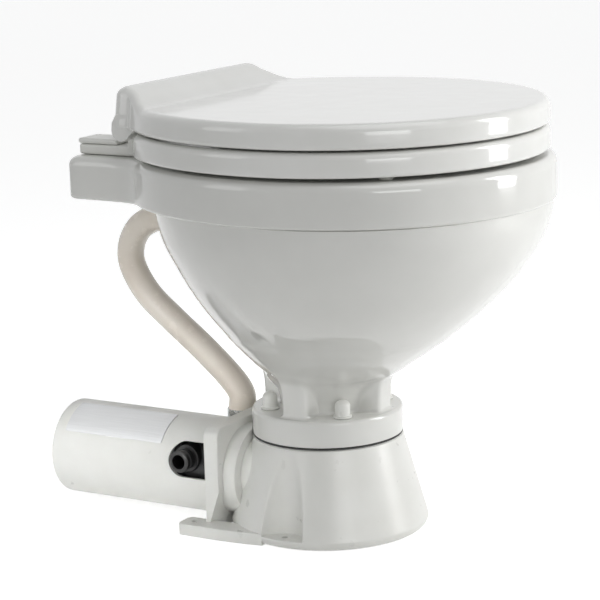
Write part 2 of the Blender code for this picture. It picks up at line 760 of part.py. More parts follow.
def foot_hollow():
    """The space under the foot, around its inner walls and over its two crossed ribs."""
    slope = (FOOT_RADIUS - CONE_TOP_RADIUS) / (CONE_HEIGHT - FOOT_EDGE)
    inner_foot = FOOT_RADIUS - CONE_WALL
    inner_top = inner_foot - slope * (CAVITY_TOP - FOOT_EDGE)
    wall_out = SUMP_RADIUS + SUMP_WALL
    below_sump = SUMP_FLOOR - SUMP_BOTTOM_THICKNESS
    hollow = turned("foot_hollow", None, [
        (0, below_sump), (wall_out, below_sump), (wall_out, CAVITY_TOP), (inner_top, CAVITY_TOP),
        (inner_foot, FOOT_EDGE), (FOOT_RADIUS - FOOT_EDGE - 2 * CONE_WALL, -2 * OVERRUN),
        (0, -2 * OVERRUN),
    ], steps=FINE, cutter=True)
    kept = []
    for side, sign in SIDES.items():
        kept.append(rod("recess_wall_" + side, None, RECESS_RADIUS + 1.3 * CONE_WALL, -3 * OVERRUN,
                        CONE_HEIGHT, centre=(sign * RECESS_CENTRE, 0, 0), steps=ROUND, cutter=True))
    kept.append(rod("passage_wall", None, PASSAGE_RADIUS + PASSAGE_WALL, SUMP_RADIUS / 4, PLATE_FRONT_Y,
                    "Y", PUMP_LINE, ROUND, True))
    kept.append(rod("chamber_wall", None, CHAMBER_RADIUS + CHAMBER_WALL, CHAMBER_FRONT_Y - CHAMBER_WALL,
                    PLATE_BACK_Y + OVERRUN, "Y", PUMP_LINE, ROUND, True))
    kept.append(rod("branch_wall", None, DISCHARGE_BORE + CONE_WALL, PUMP_X, DISCHARGE_END_X, "X",
                    DISCHARGE_LINE, ROUND, True))
    kept.append(slab("back_wall", None, (-FOOT_RADIUS, PLATE_FRONT_Y - CONE_WALL / 2, -3 * OVERRUN),
                     (FOOT_RADIUS, FOOT_RADIUS, CONE_HEIGHT + OVERRUN), cutter=True))
    half_rib = RIB_WIDTH / 2
    kept.append(slab("rib_across", None, (-FOOT_RADIUS, -half_rib, -3 * OVERRUN),
                     (FOOT_RADIUS, half_rib, SUMP_FLOOR), cutter=True))
    kept.append(slab("rib_along", None, (-half_rib, -FOOT_RADIUS, -4 * OVERRUN),
                     (half_rib, FOOT_RADIUS, SUMP_FLOOR - SUMP_BOTTOM_THICKNESS / 2), cutter=True))
    return cut(hollow, *kept)


def plate_outline():
    """The bracket plate seen from the front, with its two upper corners rounded."""
    points = [(-PLATE_HALF, -OVERRUN / 2), (PLATE_HALF, -OVERRUN / 2)]
    for sign in (1, -1):
        for i in range(CORNER_STEPS + 1):
            angle = pi / 2 * i / CORNER_STEPS
            if sign < 0:
                angle = pi / 2 - angle
            x = PLATE_HALF - PLATE_CORNER + PLATE_CORNER * cos(angle)
            points.append((sign * x, PLATE_TOP - PLATE_CORNER + PLATE_CORNER * sin(angle)))
    return points


def lug_outline(sign):
    corner = (LUG_OUTER_X - LUG_INNER_X) / 6
    return [(sign * LUG_OUTER_X, 0), (sign * LUG_OUTER_X, LUG_END_Y - corner),
            (sign * (LUG_OUTER_X - corner), LUG_END_Y), (sign * (LUG_INNER_X + corner), LUG_END_Y),
            (sign * LUG_INNER_X, LUG_END_Y - corner), (sign * LUG_INNER_X, 0)]


def bolt_places():
    """The bolts sit between the pillars, a half step from the X axis."""
    step = 2 * pi / BOLT_COUNT
    angles = [step * (i + 0.5) for i in range(BOLT_COUNT)]
    return [(BOLT_CIRCLE * cos(a), BOLT_CIRCLE * sin(a)) for a in angles]


foot()

gasket_bottom = CONE_HEIGHT + GAP
gasket = tube("base_gasket", "rubber", FLANGE_RADIUS - GAP, SUMP_RADIUS, gasket_bottom,
              gasket_bottom + GASKET_THICKNESS, steps=FINE)


# Bowl
def section(shares, top):
    """One oval of the bowl, at a share of the height from the flange to a top."""
    height, width, front, back = shares
    outline = oval(BAND_HALF_WIDTH * width, BAND_FRONT_Y * front, DECK_BACK_Y * back)
    return at_height(outline, FLANGE_TOP + (top - FLANGE_TOP) * height)


def bowl():
    body = [section(shares, BAND_BOTTOM) for shares in BODY_SHARES]
    outside = [round_ring(FLANGE_RADIUS - FLANGE_EDGE / 3, FLANGE_BOTTOM),
               round_ring(FLANGE_RADIUS, FLANGE_BOTTOM + FLANGE_EDGE / 3),
               round_ring(FLANGE_RADIUS, FLANGE_TOP - FLANGE_EDGE),
               round_ring(FLANGE_RADIUS - FLANGE_EDGE, FLANGE_TOP),
               round_ring(NECK_RADIUS + FLANGE_EDGE, FLANGE_TOP),
               round_ring(NECK_RADIUS, FLANGE_TOP + FLANGE_EDGE)]
    first_z = body[0][0][2]
    rise = first_z - FLANGE_TOP
    outside.append(round_ring(NECK_RADIUS + FLANGE_EDGE, FLANGE_TOP + rise / 2))
    outside.append(round_ring(NECK_FLARE_RADIUS, first_z - rise / 4))
    outside += body
    outside += [at_height(deck_outline(BAND_EDGE), BAND_BOTTOM),
                at_height(deck_outline(0), BAND_BOTTOM + BAND_EDGE),
                at_height(deck_outline(0), RIM_TOP - BAND_TOP_EDGE),
                at_height(deck_outline(BAND_EDGE), RIM_TOP - BAND_TOP_EDGE / 4),
                at_height(deck_outline(BAND_TOP_EDGE), RIM_TOP)]
    inside = [section(shares, RIM_TOP) for shares in BASIN_SHARES]
    last_z = inside[-1][0][2]
    inside += [round_ring(DRAIN_RADIUS, last_z - DRAIN_RADIUS / 3), round_ring(DRAIN_RADIUS, FLANGE_BOTTOM)]
    made = loft("bowl", "china", outside + inside, True)

    half = PILLAR_WIDTH / 2
    low, top = FLANGE_TOP - FLANGE_EDGE, FLANGE_TOP + PILLAR_HEIGHT
    pillars = [slab("pillar_right", None, (PILLAR_INNER, -half, low), (PILLAR_REACH, half, top),
                    PILLAR_EDGE, cutter=True),
               slab("pillar_left", None, (-PILLAR_REACH, -half, low), (-PILLAR_INNER, half, top),
                    PILLAR_EDGE, cutter=True),
               slab("pillar_back", None, (-half, PILLAR_INNER, low), (half, PILLAR_REACH, top),
                    PILLAR_EDGE, cutter=True),
               slab("pillar_front", None, (-half, -PILLAR_REACH, low), (half, -PILLAR_INNER, top),
                    PILLAR_EDGE, cutter=True)]
    boss = rod("inlet_boss", None, INLET_BOSS_RADIUS, INLET_BOSS_ROOT_Y, INLET_BOSS_Y, "Y",
               (0, 0, INLET_Z), ROUND, True)
    join(made, *pillars, boss)
    cut(made, rod("inlet_hole", None, INLET_HOLE_RADIUS, INLET_INSIDE_Y, INLET_BOSS_Y + OVERRUN, "Y",
                  (0, 0, INLET_Z), ROUND, True))
    for number, (x, y) in enumerate(bolt_places(), 1):
        hole = rod(f"flange_hole_{number}", None, BOLT_HOLE_RADIUS, FLANGE_BOTTOM - OVERRUN,
                   FLANGE_TOP + OVERRUN, centre=(x, y, 0), steps=TINY, cutter=True)
        cut(made, hole)
        cut(gasket, hole)
    for side, sign in SIDES.items():
        middle = (sign * block_middle(), HINGE_BOLT_Y, 0)
        cut(made,
            rod("deck_pocket_" + side, None, DECK_POCKET_RADIUS, BAND_BOTTOM - OVERRUN,
                BAND_BOTTOM + DECK_POCKET_DEPTH, centre=middle, steps=ROUND, cutter=True),
            rod("deck_hole_" + side, None, DECK_HOLE_RADIUS, BAND_BOTTOM + DECK_POCKET_DEPTH - OVERRUN,
                RIM_TOP + OVERRUN, centre=middle, steps=SMALL, cutter=True))
    return made


def block_middle():
    return (BLOCK_INNER_X + BLOCK_OUTER_X) / 2


bowl()


def bowl_fastener(number, x, y):
    """A hexagon bolt from under the foot's top plate, and the domed nut on the flange."""
    head_top = CAVITY_TOP - GAP
    bolt_end = FLANGE_TOP + BOLT_REACH
    turned(f"bowl_bolt_{number}", "steel", [
        (0, bolt_end), (BOLT_RADIUS, bolt_end), (BOLT_RADIUS, head_top), (BOLT_HEAD_RADIUS, head_top),
        (BOLT_HEAD_RADIUS, head_top - BOLT_HEAD_HEIGHT), (0, head_top - BOLT_HEAD_HEIGHT),
    ], centre=(x, y, 0), steps=TINY)
    foot_z = FLANGE_TOP + GAP
    neck_z = foot_z + NUT_FLANGE_HEIGHT
    dome_z = foot_z + NUT_HEIGHT - NUT_DOME_HEIGHT
    bore = BOLT_RADIUS + GAP
    profile = [(0, foot_z + NUT_HEIGHT)]
    for share in (0.45, 0.80, 1.0):
        profile.append((NUT_RADIUS * share, dome_z + NUT_DOME_HEIGHT * sqrt(1 - share * share)))
    profile += [(NUT_RADIUS, neck_z), (NUT_FLANGE_RADIUS, neck_z), (NUT_FLANGE_RADIUS, foot_z),
                (bore, foot_z), (bore, foot_z + NUT_BORE_DEPTH), (0, foot_z + NUT_BORE_DEPTH)]
    turned(f"bowl_cap_nut_{number}", "moulding", profile, centre=(x, y, 0), steps=TINY)


for bolt_number, (bolt_x, bolt_y) in enumerate(bolt_places(), 1):
    bowl_fastener(bolt_number, bolt_x, bolt_y)


# Flush inlet and hose
def flush_line():
    lip_y = INLET_BOSS_Y + GAP
    collar_y = lip_y + SEAL_LIP + GAP
    sleeve = INLET_HOLE_RADIUS - GAP
    barb_hole = BARB_RADIUS + GAP
    turned("bowl_inlet_seal", "rubber", [
        (SEAL_LIP_RADIUS, lip_y + SEAL_LIP), (SEAL_LIP_RADIUS, lip_y), (sleeve, lip_y),
        (sleeve, INLET_BOSS_ROOT_Y), (barb_hole, INLET_BOSS_ROOT_Y), (barb_hole, lip_y + SEAL_LIP),
    ], "Y", (0, 0, INLET_Z), ROUND)
    spigot_end = HOSE_START_Y + BARB_LENGTH
    turned("bowl_inlet_spigot", "moulding",
           barb_profile(INLET_BOSS_ROOT_Y, collar_y, SEAL_LIP, spigot_end), "Y", (0, 0, INLET_Z), SMALL)

    points = [Vector((0, HOSE_START_Y, INLET_Z)), Vector((0, HOSE_START_Y + BARB_LENGTH, INLET_Z))]
    fall = INLET_Z - HOSE_END_Z
    points += [Vector((OUTLET_X * x, HOSE_BACK_Y * y, HOSE_END_Z + fall * z)) for x, y, z in HOSE_SHARES]
    points += [Vector((OUTLET_X, OUTLET_Y, HOSE_END_Z + 2 * HOSE_RADIUS)),
               Vector((OUTLET_X, OUTLET_Y, HOSE_END_Z + HOSE_RADIUS)),
               Vector((OUTLET_X, OUTLET_Y, HOSE_END_Z))]
    route = smooth_route(points, 2)
    hose = pipe("flush_hose", "hose", route, HOSE_RADIUS, 12)
    first = route[0] - (route[1] - route[0]).normalized() * OVERRUN
    last = route[-1] + (route[-1] - route[-2]).normalized() * OVERRUN
    cut(hose, pipe("hose_bore", None, [first] + route + [last], HOSE_BORE, 12, cutter=True))

    clamp("hose_clamp_upper", "Y", HOSE_START_Y + CLAMP_INSET, (0, 0, INLET_Z))
    clamp("hose_clamp_lower", "Z", HOSE_END_Z + CLAMP_INSET, (OUTLET_X, OUTLET_Y, 0))


def barb_profile(start, collar, collar_length, end):
    """A tube with a collar and three ridges for a hose, along one axis."""
    ridge = BARB_RADIUS + BARB_RIDGE
    pitch = BARB_LENGTH / 4
    profile = [(BARB_RADIUS, start), (BARB_RADIUS, collar), (SEAL_LIP_RADIUS, collar),
               (SEAL_LIP_RADIUS, collar + collar_length), (BARB_RADIUS, collar + collar_length)]
    for i in (3, 2, 1):
        root = end - i * pitch
        profile += [(BARB_RADIUS, root), (ridge, root), (BARB_RADIUS, root + pitch * 0.9)]
    return profile + [(BARB_RADIUS, end), (BARB_BORE, end), (BARB_BORE, start)]


def clamp(name, axis, middle, centre):
    """A band with its worm-screw box, made as one closed piece."""
    inner = HOSE_RADIUS + GAP
    outer = inner + CLAMP_THICKNESS
    half = CLAMP_WIDTH / 2
    band = tube(name, "steel", outer, inner, middle - half, middle + half, axis, centre, ROUND)
    long, wide, tall = CLAMP_BOX
    away = outer - CLAMP_THICKNESS / 2
    spot = Vector(centre)
    if axis == "Y":
        low = spot + Vector((-long / 2, middle - wide / 2, away))
        high = spot + Vector((long / 2, middle + wide / 2, away + tall))
        screw_axis, screw_centre = "X", spot + Vector((0, middle, away + tall / 2))
    else:
        low = spot + Vector((away, -long / 2, middle - wide / 2))
        high = spot + Vector((away + tall, long / 2, middle + wide / 2))
        screw_axis, screw_centre = "Y", spot + Vector((away + tall / 2, 0, middle))
    box = slab(name + "_box", None, low, high, CLAMP_THICKNESS / 2, 1, cutter=True)
    screw = rod(name + "_screw", None, CLAMP_SCREW_RADIUS, -CLAMP_SCREW_LENGTH / 2,
                CLAMP_SCREW_LENGTH / 2, screw_axis, screw_centre, TINY, True)
    join(band, box, screw)


flush_line()


# Pump head
def pump_head():
    spigot = CHAMBER_RADIUS - GAP
    groove = spigot - O_RING_DEPTH
    front = SEAL_PLATE_Y - SEAL_PLATE_SPIGOT
    ring_start = front + (SEAL_PLATE_SPIGOT - O_RING_WIDTH) / 2
    ring_end = ring_start + O_RING_WIDTH
    back = SEAL_PLATE_Y + SEAL_PLATE_THICKNESS
    pocket_end = front + SEAL_POCKET_DEPTH
    turned("seal_plate", "pump", [
        (SEAL_POCKET_RADIUS, front), (spigot, front), (spigot, ring_start), (groove, ring_start),
        (groove, ring_end), (spigot, ring_end), (spigot, SEAL_PLATE_Y), (SEAL_PLATE_RADIUS, SEAL_PLATE_Y),
        (SEAL_PLATE_RADIUS, back), (SHAFT_BORE, back), (SHAFT_BORE, pocket_end),
        (SEAL_POCKET_RADIUS, pocket_end),
    ], "Y", PUMP_LINE, ROUND)
    tube("seal_plate_o_ring", "rubber", spigot - GAP / 2, groove + GAP, ring_start + GAP,
         ring_end - GAP, "Y", PUMP_LINE, ROUND)
    tube("shaft_seal", "rubber", SEAL_POCKET_RADIUS - GAP, SHAFT_BORE, front, pocket_end - GAP,
         "Y", PUMP_LINE, SMALL)
    tube("pump_wear_plate", "steel", PUMP_BODY_RADIUS, SHAFT_BORE, WEAR_PLATE_Y,
         WEAR_PLATE_Y + WEAR_PLATE_THICKNESS, "Y", PUMP_LINE, ROUND)

    flange_y = PUMP_BODY_Y + PUMP_BODY_LENGTH
    floor_y = PUMP_BODY_Y + PUMP_CHAMBER_DEPTH
    body = turned("pump_body", "pump", [
        (0, PUMP_BODY_Y), (PUMP_BODY_RADIUS, PUMP_BODY_Y), (PUMP_BODY_RADIUS, flange_y),
        (CAN_RADIUS, flange_y), (CAN_RADIUS, PUMP_BODY_END_Y), (0, PUMP_BODY_END_Y),
    ], "Y", PUMP_LINE, ROUND)
    inlet_line = (0, PUMP_INLET_Y, PUMP_INLET_Z)
    lip_start = PUMP_INLET_END_X + PORT_LIP_LENGTH
    inlet = turned("pump_inlet", None, [
        (0, PUMP_INLET_END_X), (PORT_RADIUS, PUMP_INLET_END_X),
        (PORT_RADIUS + PORT_LIP, PUMP_INLET_END_X + PORT_LIP), (PORT_RADIUS + PORT_LIP, lip_start),
        (PORT_RADIUS, lip_start), (PORT_RADIUS, PORT_COLLAR_END_X), (PORT_COLLAR_RADIUS, PORT_COLLAR_END_X),
        (PORT_COLLAR_RADIUS, PUMP_X), (0, PUMP_X),
    ], "X", inlet_line, SMALL, True)
    inlet_bore = rod("pump_inlet_bore", None, PORT_BORE, PUMP_INLET_END_X - OVERRUN, PUMP_X, "X",
                     inlet_line, SMALL, True)
    outlet = rod("pump_outlet", None, PORT_RADIUS, PUMP_X, OUTLET_X, "X",
                 (0, OUTLET_Y, OUTLET_Z), SMALL, True)
    knee = rod("pump_outlet_knee", None, PORT_RADIUS, OUTLET_Z - PORT_RADIUS - PORT_LIP,
               HOSE_END_Z - PORT_LIP, "Z", (OUTLET_X, OUTLET_Y, 0), SMALL, True)
    upright = rod("pump_outlet_barb", None, BARB_RADIUS, OUTLET_Z, OUTLET_TOP_Z, "Z",
                  (OUTLET_X, OUTLET_Y, 0), SMALL, True)
    half_bore = PORT_BORE / 2
    outlet_bore = rod("pump_outlet_bore", None, PORT_BORE, PUMP_X, OUTLET_X + half_bore, "X",
                      (0, OUTLET_Y, OUTLET_Z), SMALL, True)
    upright_bore = rod("pump_upright_bore", None, PORT_BORE, OUTLET_Z - half_bore, OUTLET_TOP_Z + OVERRUN,
                       "Z", (OUTLET_X, OUTLET_Y, 0), SMALL, True)
    chamber = rod("pump_chamber", None, PUMP_CHAMBER_RADIUS, PUMP_BODY_Y - OVERRUN, floor_y, "Y",
                  PUMP_LINE, ROUND, True)
    shaft_hole = rod("pump_shaft_hole", None, SHAFT_BORE, floor_y - OVERRUN, PUMP_BODY_END_Y + OVERRUN,
                     "Y", PUMP_LINE, SMALL, True)
    join(body, inlet, outlet, knee, upright)
    cut(body, chamber, shaft_hole, inlet_bore, outlet_bore, upright_bore)


pump_head()


# Motor
def motor():
    bore = BUSH_RADIUS + GAP
    inner = CAN_RADIUS - CAN_WALL
    bell = turned("motor_end_bell", "zinc", [
        (SHAFT_BORE, BELL_Y), (CAN_RADIUS, BELL_Y), (CAN_RADIUS, BELL_END_Y + BELL_RIM_LENGTH),
        (inner, BELL_END_Y + BELL_RIM_LENGTH), (inner, BELL_END_Y), (bore, BELL_END_Y),
        (bore, BELL_END_Y - BUSH_LENGTH), (SHAFT_BORE, BELL_END_Y - BUSH_LENGTH),
    ], "Y", PUMP_LINE, ROUND)
    bush_start = BELL_END_Y - BUSH_LENGTH + GAP
    tube("motor_bush_front", "bronze", BUSH_RADIUS, SHAFT_BORE, bush_start, BELL_END_Y, "Y",
         PUMP_LINE, SMALL)

    long, wide, tall = BRUSH_SIZE
    wall = BRUSH_HOLDER_WALL
    start = COMMUTATOR_RADIUS + GAP
    for side, sign in SIDES.items():
        shell = brush_box("holder_" + side, None, sign, start + wall, BRUSH_HOLDER_REACH,
                          wide / 2 + wall, tall / 2 + wall, True)
        foot_low = Vector((PUMP_X + sign * (start + wall), BELL_END_Y - GAP, PUMP_Z - tall / 2))
        foot_high = Vector((PUMP_X + sign * BRUSH_HOLDER_REACH, BRUSH_Y - wide / 2, PUMP_Z + tall / 2))
        foot = slab("holder_foot_" + side, None, foot_low, foot_high, cutter=True)
        slot = brush_box("holder_slot_" + side, None, sign, 0, BRUSH_HOLDER_REACH + OVERRUN,
                         wide / 2 + GAP, tall / 2 + GAP, True)
        join(bell, shell, foot)
        cut(bell, slot)
        brush_box("brush_" + side, "carbon", sign, start, start + long, wide / 2, tall / 2, False)

    end = CAN_END_Y
    seat_start = end - CAN_WALL - BUSH_LENGTH / 2
    turned("motor_can", "zinc", [
        (inner, CAN_START_Y), (CAN_RADIUS, CAN_START_Y), (CAN_RADIUS, end), (bore, end),
        (bore, seat_start), (bore + CAN_WALL, seat_start), (bore + CAN_WALL, end - CAN_WALL),
        (inner, end - CAN_WALL),
    ], "Y", PUMP_LINE, ROUND)
    tube("motor_bush_rear", "bronze", BUSH_RADIUS, SHAFT_BORE, seat_start, end - GAP, "Y",
         PUMP_LINE, SMALL)
    outer = inner - 3 * GAP
    for place_name, middle in (("upper", pi / 2), ("lower", -pi / 2)):
        prism("motor_magnet_" + place_name, "magnet",
              arc_band(outer - MAGNET_THICKNESS, outer, middle - MAGNET_HALF_ANGLE,
                       middle + MAGNET_HALF_ANGLE, MAGNET_STEPS),
              MAGNET_START_Y, MAGNET_START_Y + MAGNET_LENGTH, "Y", PUMP_LINE)


def brush_box(name, look, sign, near, far, half_wide, half_tall, cutter):
    """A bar that points away from the shaft along X, at the brushes' place."""
    ends = sorted((PUMP_X + sign * near, PUMP_X + sign * far))
    return slab(name, look, (ends[0], BRUSH_Y - half_wide, PUMP_Z - half_tall),
                (ends[1], BRUSH_Y + half_wide, PUMP_Z + half_tall), cutter=cutter)


def arc_band(inner, outer, start, end, steps):
    """Outline of a curved strip between two radii."""
    angles = [start + (end - start) * i / steps for i in range(steps + 1)]
    points = [(outer * cos(a), outer * sin(a)) for a in angles]
    return points + [(inner * cos(a), inner * sin(a)) for a in reversed(angles)]


motor()


# Rotor: everything on the shaft
def rotor():
    rod("shaft", "steel", SHAFT_RADIUS, SHAFT_FRONT_Y, CAN_END_Y - CAN_WALL, "Y", PUMP_LINE, SMALL)
    start = BRUSH_Y - COMMUTATOR_LENGTH / 2
    commutator = tube("commutator", "copper", COMMUTATOR_RADIUS, SHAFT_BORE, start,
                      start + COMMUTATOR_LENGTH, "Y", PUMP_LINE, 2 * COMMUTATOR_BARS)
    for i in range(COMMUTATOR_BARS):
        slot = spoke(f"bar_slot_{i}", COMMUTATOR_RADIUS - BAR_SLOT, COMMUTATOR_RADIUS + OVERRUN, BAR_SLOT,
                     start - OVERRUN, start + COMMUTATOR_LENGTH + OVERRUN, 2 * pi * i / COMMUTATOR_BARS)
        cut(commutator, slot)
    end = ARMATURE_START_Y + ARMATURE_LENGTH
    armature = tube("armature", "zinc", ARMATURE_RADIUS, SHAFT_BORE, ARMATURE_START_Y, end, "Y",
                    PUMP_LINE, 3 * ARMATURE_SLOTS)
    for i in range(ARMATURE_SLOTS):
        slot = spoke(f"core_slot_{i}", ARMATURE_RADIUS - ARMATURE_SLOT_DEPTH, ARMATURE_RADIUS + OVERRUN,
                     ARMATURE_SLOT_WIDTH, ARMATURE_START_Y - OVERRUN, end + OVERRUN,
                     2 * pi * (i + 0.5) / ARMATURE_SLOTS)
        cut(armature, slot)

    hub_end = BLADE_Y + BLADE_HUB_LENGTH
    blade = tube("macerator_blade", "steel", BLADE_HUB_RADIUS, SHAFT_BORE, BLADE_Y, hub_end, "Y",
                 PUMP_LINE, SMALL)
    for i in range(2):
        join(blade, spoke(f"blade_arm_{i}", BLADE_HUB_RADIUS * 0.8, BLADE_REACH, BLADE_WIDTH, BLADE_Y,
                          BLADE_Y + BLADE_THICKNESS, pi * i))

    disc_end = WASTE_DISC_Y + WASTE_DISC_THICKNESS
    vane_start = WASTE_DISC_Y - WASTE_VANE_LENGTH
    waste = turned("waste_impeller", "pump", [
        (SHAFT_BORE, vane_start), (WASTE_HUB_RADIUS, vane_start), (WASTE_HUB_RADIUS, WASTE_DISC_Y),
        (WASTE_RADIUS, WASTE_DISC_Y), (WASTE_RADIUS, disc_end), (SHAFT_BORE, disc_end),
    ], "Y", PUMP_LINE, ROUND)
    for i in range(WASTE_VANES):
        join(waste, spoke(f"waste_vane_{i}", WASTE_HUB_RADIUS * 0.8, WASTE_RADIUS * 0.98, VANE_THICKNESS,
                          vane_start, WASTE_DISC_Y + WASTE_DISC_THICKNESS / 2, 2 * pi * i / WASTE_VANES))

    flex_start = PUMP_BODY_Y + (PUMP_CHAMBER_DEPTH - FLEX_LENGTH) / 2
    flex = tube("flexible_impeller", "rubber", FLEX_HUB_RADIUS, SHAFT_BORE, flex_start,
                flex_start + FLEX_LENGTH, "Y", PUMP_LINE, ROUND)
    for i in range(FLEX_VANES):
        join(flex, spoke(f"flex_vane_{i}", FLEX_HUB_RADIUS * 0.85, FLEX_RADIUS, VANE_THICKNESS,
                         flex_start, flex_start + FLEX_LENGTH, 2 * pi * (i + 0.25) / FLEX_VANES))


def spoke(name, near, far, width, start, end, angle):
    """A bar between two radii about the pump line, turned to an angle."""
    half = width / 2
    corners = ((near, -half), (far, -half), (far, half), (near, half))
    outline = [(r * cos(angle) - s * sin(angle), r * sin(angle) + s * cos(angle)) for r, s in corners]
    return prism(name, None, outline, start, end, "Y", PUMP_LINE, True)


rotor()


# Motor cover with its two windows, its gland and the blank plate on it
def motor_cover():
    inner = COVER_RADIUS - COVER_WALL
    floor_y = COVER_END_Y - COVER_END_WALL
    cover = turned("motor_cover", "moulding", [
        (0, COVER_END_Y), (COVER_RADIUS - COVER_EDGE, COVER_END_Y),
        (COVER_RADIUS - COVER_EDGE / 3, COVER_END_Y - COVER_EDGE / 3),
        (COVER_RADIUS, COVER_END_Y - COVER_EDGE), (COVER_RADIUS, SEAL_PLATE_Y), (inner, SEAL_PLATE_Y),
        (inner, floor_y), (0, floor_y),
    ], "Y", PUMP_LINE, FINE)
    window = arched_window("window", PUMP_X - COVER_RADIUS - OVERRUN, PUMP_X - inner / 2, PUMP_INLET_Y,
                           PUMP_INLET_Z, WINDOW_HALF_HEIGHT)
    outlet = arched_window("outlet_window", PUMP_X + inner / 2, PUMP_X + COVER_RADIUS + OVERRUN, OUTLET_Y,
                           OUTLET_Z, OUTLET_WINDOW_HALF_HEIGHT)
    gland_hole = rod("gland_hole", None, GLAND_HOLE_RADIUS, floor_y - OVERRUN, COVER_END_Y + OVERRUN, "Y",
                     (PUMP_X, 0, GLAND_Z), SMALL, True)
    cut(cover, window, outlet, gland_hole)

    sleeve = GLAND_HOLE_RADIUS - GAP
    lip = sleeve + GLAND_LIP
    lip_y = COVER_END_Y + GAP
    turned("cable_gland", "rubber", [
        (GLAND_BORE, floor_y), (sleeve, floor_y), (sleeve, lip_y), (lip, lip_y),
        (lip - GLAND_LIP / 2, lip_y + GLAND_LIP_LENGTH), (GLAND_BORE, lip_y + GLAND_LIP_LENGTH),
    ], "Y", (PUMP_X, 0, GLAND_Z), SMALL)

    under = COVER_RADIUS + GAP
    prism("label_plate", "silver",
          arc_band(under, under + LABEL_THICKNESS, LABEL_START_ANGLE, LABEL_END_ANGLE, LABEL_STEPS),
          LABEL_START_Y, LABEL_END_Y, "Y", PUMP_LINE)


def arched_window(name, start_x, end_x, y, z, half):
    """A slot from the tube's open end, with a round inner end."""
    points = [(SEAL_PLATE_Y - OVERRUN, z - half)]
    for i in range(9):
        angle = -pi / 2 + pi * i / 8
        points.append((y + half * cos(angle), z + half * sin(angle)))
    points.append((SEAL_PLATE_Y - OVERRUN, z + half))
    return prism(name, None, points, start_x, end_x, "X", cutter=True)


motor_cover()


# Discharge side
def discharge():
    line = (0, DISCHARGE_Y, DISCHARGE_Z)
    socket = SPIGOT_RADIUS + GAP
    outer = socket + ELBOW_WALL
    ring_start = DISCHARGE_END_X + GAP
    ring_end = ring_start + DISCHARGE_RING_THICKNESS
    tube("discharge_o_ring", "rubber", outer - ELBOW_WALL / 3, socket, ring_start, ring_end, "X", line,
         ROUND)
    start = ring_end + GAP
    shoulder = DISCHARGE_END_X + SPIGOT_LENGTH + GAP
    turn_x = shoulder + ELBOW_BEND_RADIUS
    points = [Vector((start, DISCHARGE_Y, DISCHARGE_Z))]
    steps = 5
    for i in range(steps + 1):
        angle = pi / 2 * i / steps
        points.append(Vector((shoulder + ELBOW_BEND_RADIUS * sin(angle),
                              DISCHARGE_Y + ELBOW_BEND_RADIUS * (1 - cos(angle)), DISCHARGE_Z)))
    leg_start = DISCHARGE_Y + ELBOW_BEND_RADIUS + OVERRUN
    points.append(Vector((turn_x, leg_start, DISCHARGE_Z)))
    elbow = pipe("discharge_elbow", "moulding", points, outer, 12)
    ridge = ELBOW_BARB_RADIUS + ELBOW_BARB_RIDGE
    profile = [(0, ELBOW_LEG_END_Y)]
    for i in range(3):
        tip = ELBOW_LEG_END_Y - i * ELBOW_BARB_PITCH
        profile += [(ELBOW_BARB_RADIUS, tip), (ridge, tip - ELBOW_BARB_PITCH * 0.8)]
        profile += [(ELBOW_BARB_RADIUS, tip - ELBOW_BARB_PITCH * 0.8)]
    profile += [(ELBOW_BARB_RADIUS, leg_start - OVERRUN), (0, leg_start - OVERRUN)]
    barb = turned("discharge_barb", None, profile, "Y", (turn_x, 0, DISCHARGE_Z), SMALL, True)
    bore_start = Vector((shoulder - OVERRUN, DISCHARGE_Y, DISCHARGE_Z))
    bore_end = Vector((turn_x, ELBOW_LEG_END_Y + OVERRUN, DISCHARGE_Z))
    bend_bore = pipe("elbow_bend_bore", None, [bore_start] + points[1:-1] + [bore_end], ELBOW_BARB_BORE,
                     12, cutter=True)
    socket_bore = rod("elbow_socket", None, socket, start - OVERRUN, shoulder, "X", line, ROUND, True)
    join(elbow, barb)
    cut(elbow, bend_bore, socket_bore)

    root = DISCHARGE_BORE - GAP
    mouth = DISCHARGE_END_X + SPIGOT_LENGTH - VALVE_LENGTH
    flange_end = mouth + VALVE_FLANGE_LENGTH
    tip = mouth + VALVE_LENGTH - GAP
    narrow = root - VALVE_WALL
    turned("joker_valve", "rubber", [
        (root, mouth), (root, flange_end), (narrow, flange_end + VALVE_WALL), (VALVE_LIP_RADIUS, tip),
        (VALVE_LIP_RADIUS - VALVE_WALL, tip), (narrow - VALVE_WALL, flange_end),
        (narrow - VALVE_WALL, mouth),
    ], "X", line, SMALL)


discharge()


# Seat
def seat_width_point():
    """Where the oval that the seat and the lid share runs into the lid's tail."""
    return LID_TAIL_HALF * LID_MEET_SHARE, LID_TAIL_Y - LID_TAIL_LENGTH


def seat_outline(inset):
    back = back_reach(SEAT_HALF_WIDTH, SEAT_CENTRE_Y, *seat_width_point())
    return cropped(SEAT_HALF_WIDTH - inset, SEAT_FRONT - inset, back - inset, SEAT_CENTRE_Y,
                   SEAT_TAIL_Y - inset, SEAT_CORNER)


def lid_outline(inset, share=0.0):
    """The lid in plan, at a share of the way up its back, which leans forward and draws in."""
    tail_half = LID_TAIL_HALF - inset - LID_TAIL_DRAW * share
    meet_y = LID_TAIL_Y - LID_TAIL_LENGTH - inset * INSET_SHARE
    return tailed(SEAT_HALF_WIDTH - inset, SEAT_FRONT - inset, SEAT_CENTRE_Y, tail_half * LID_MEET_SHARE,
                  meet_y, tail_half, LID_TAIL_Y - LID_TAIL_LEAN * share - inset, LID_CORNER)


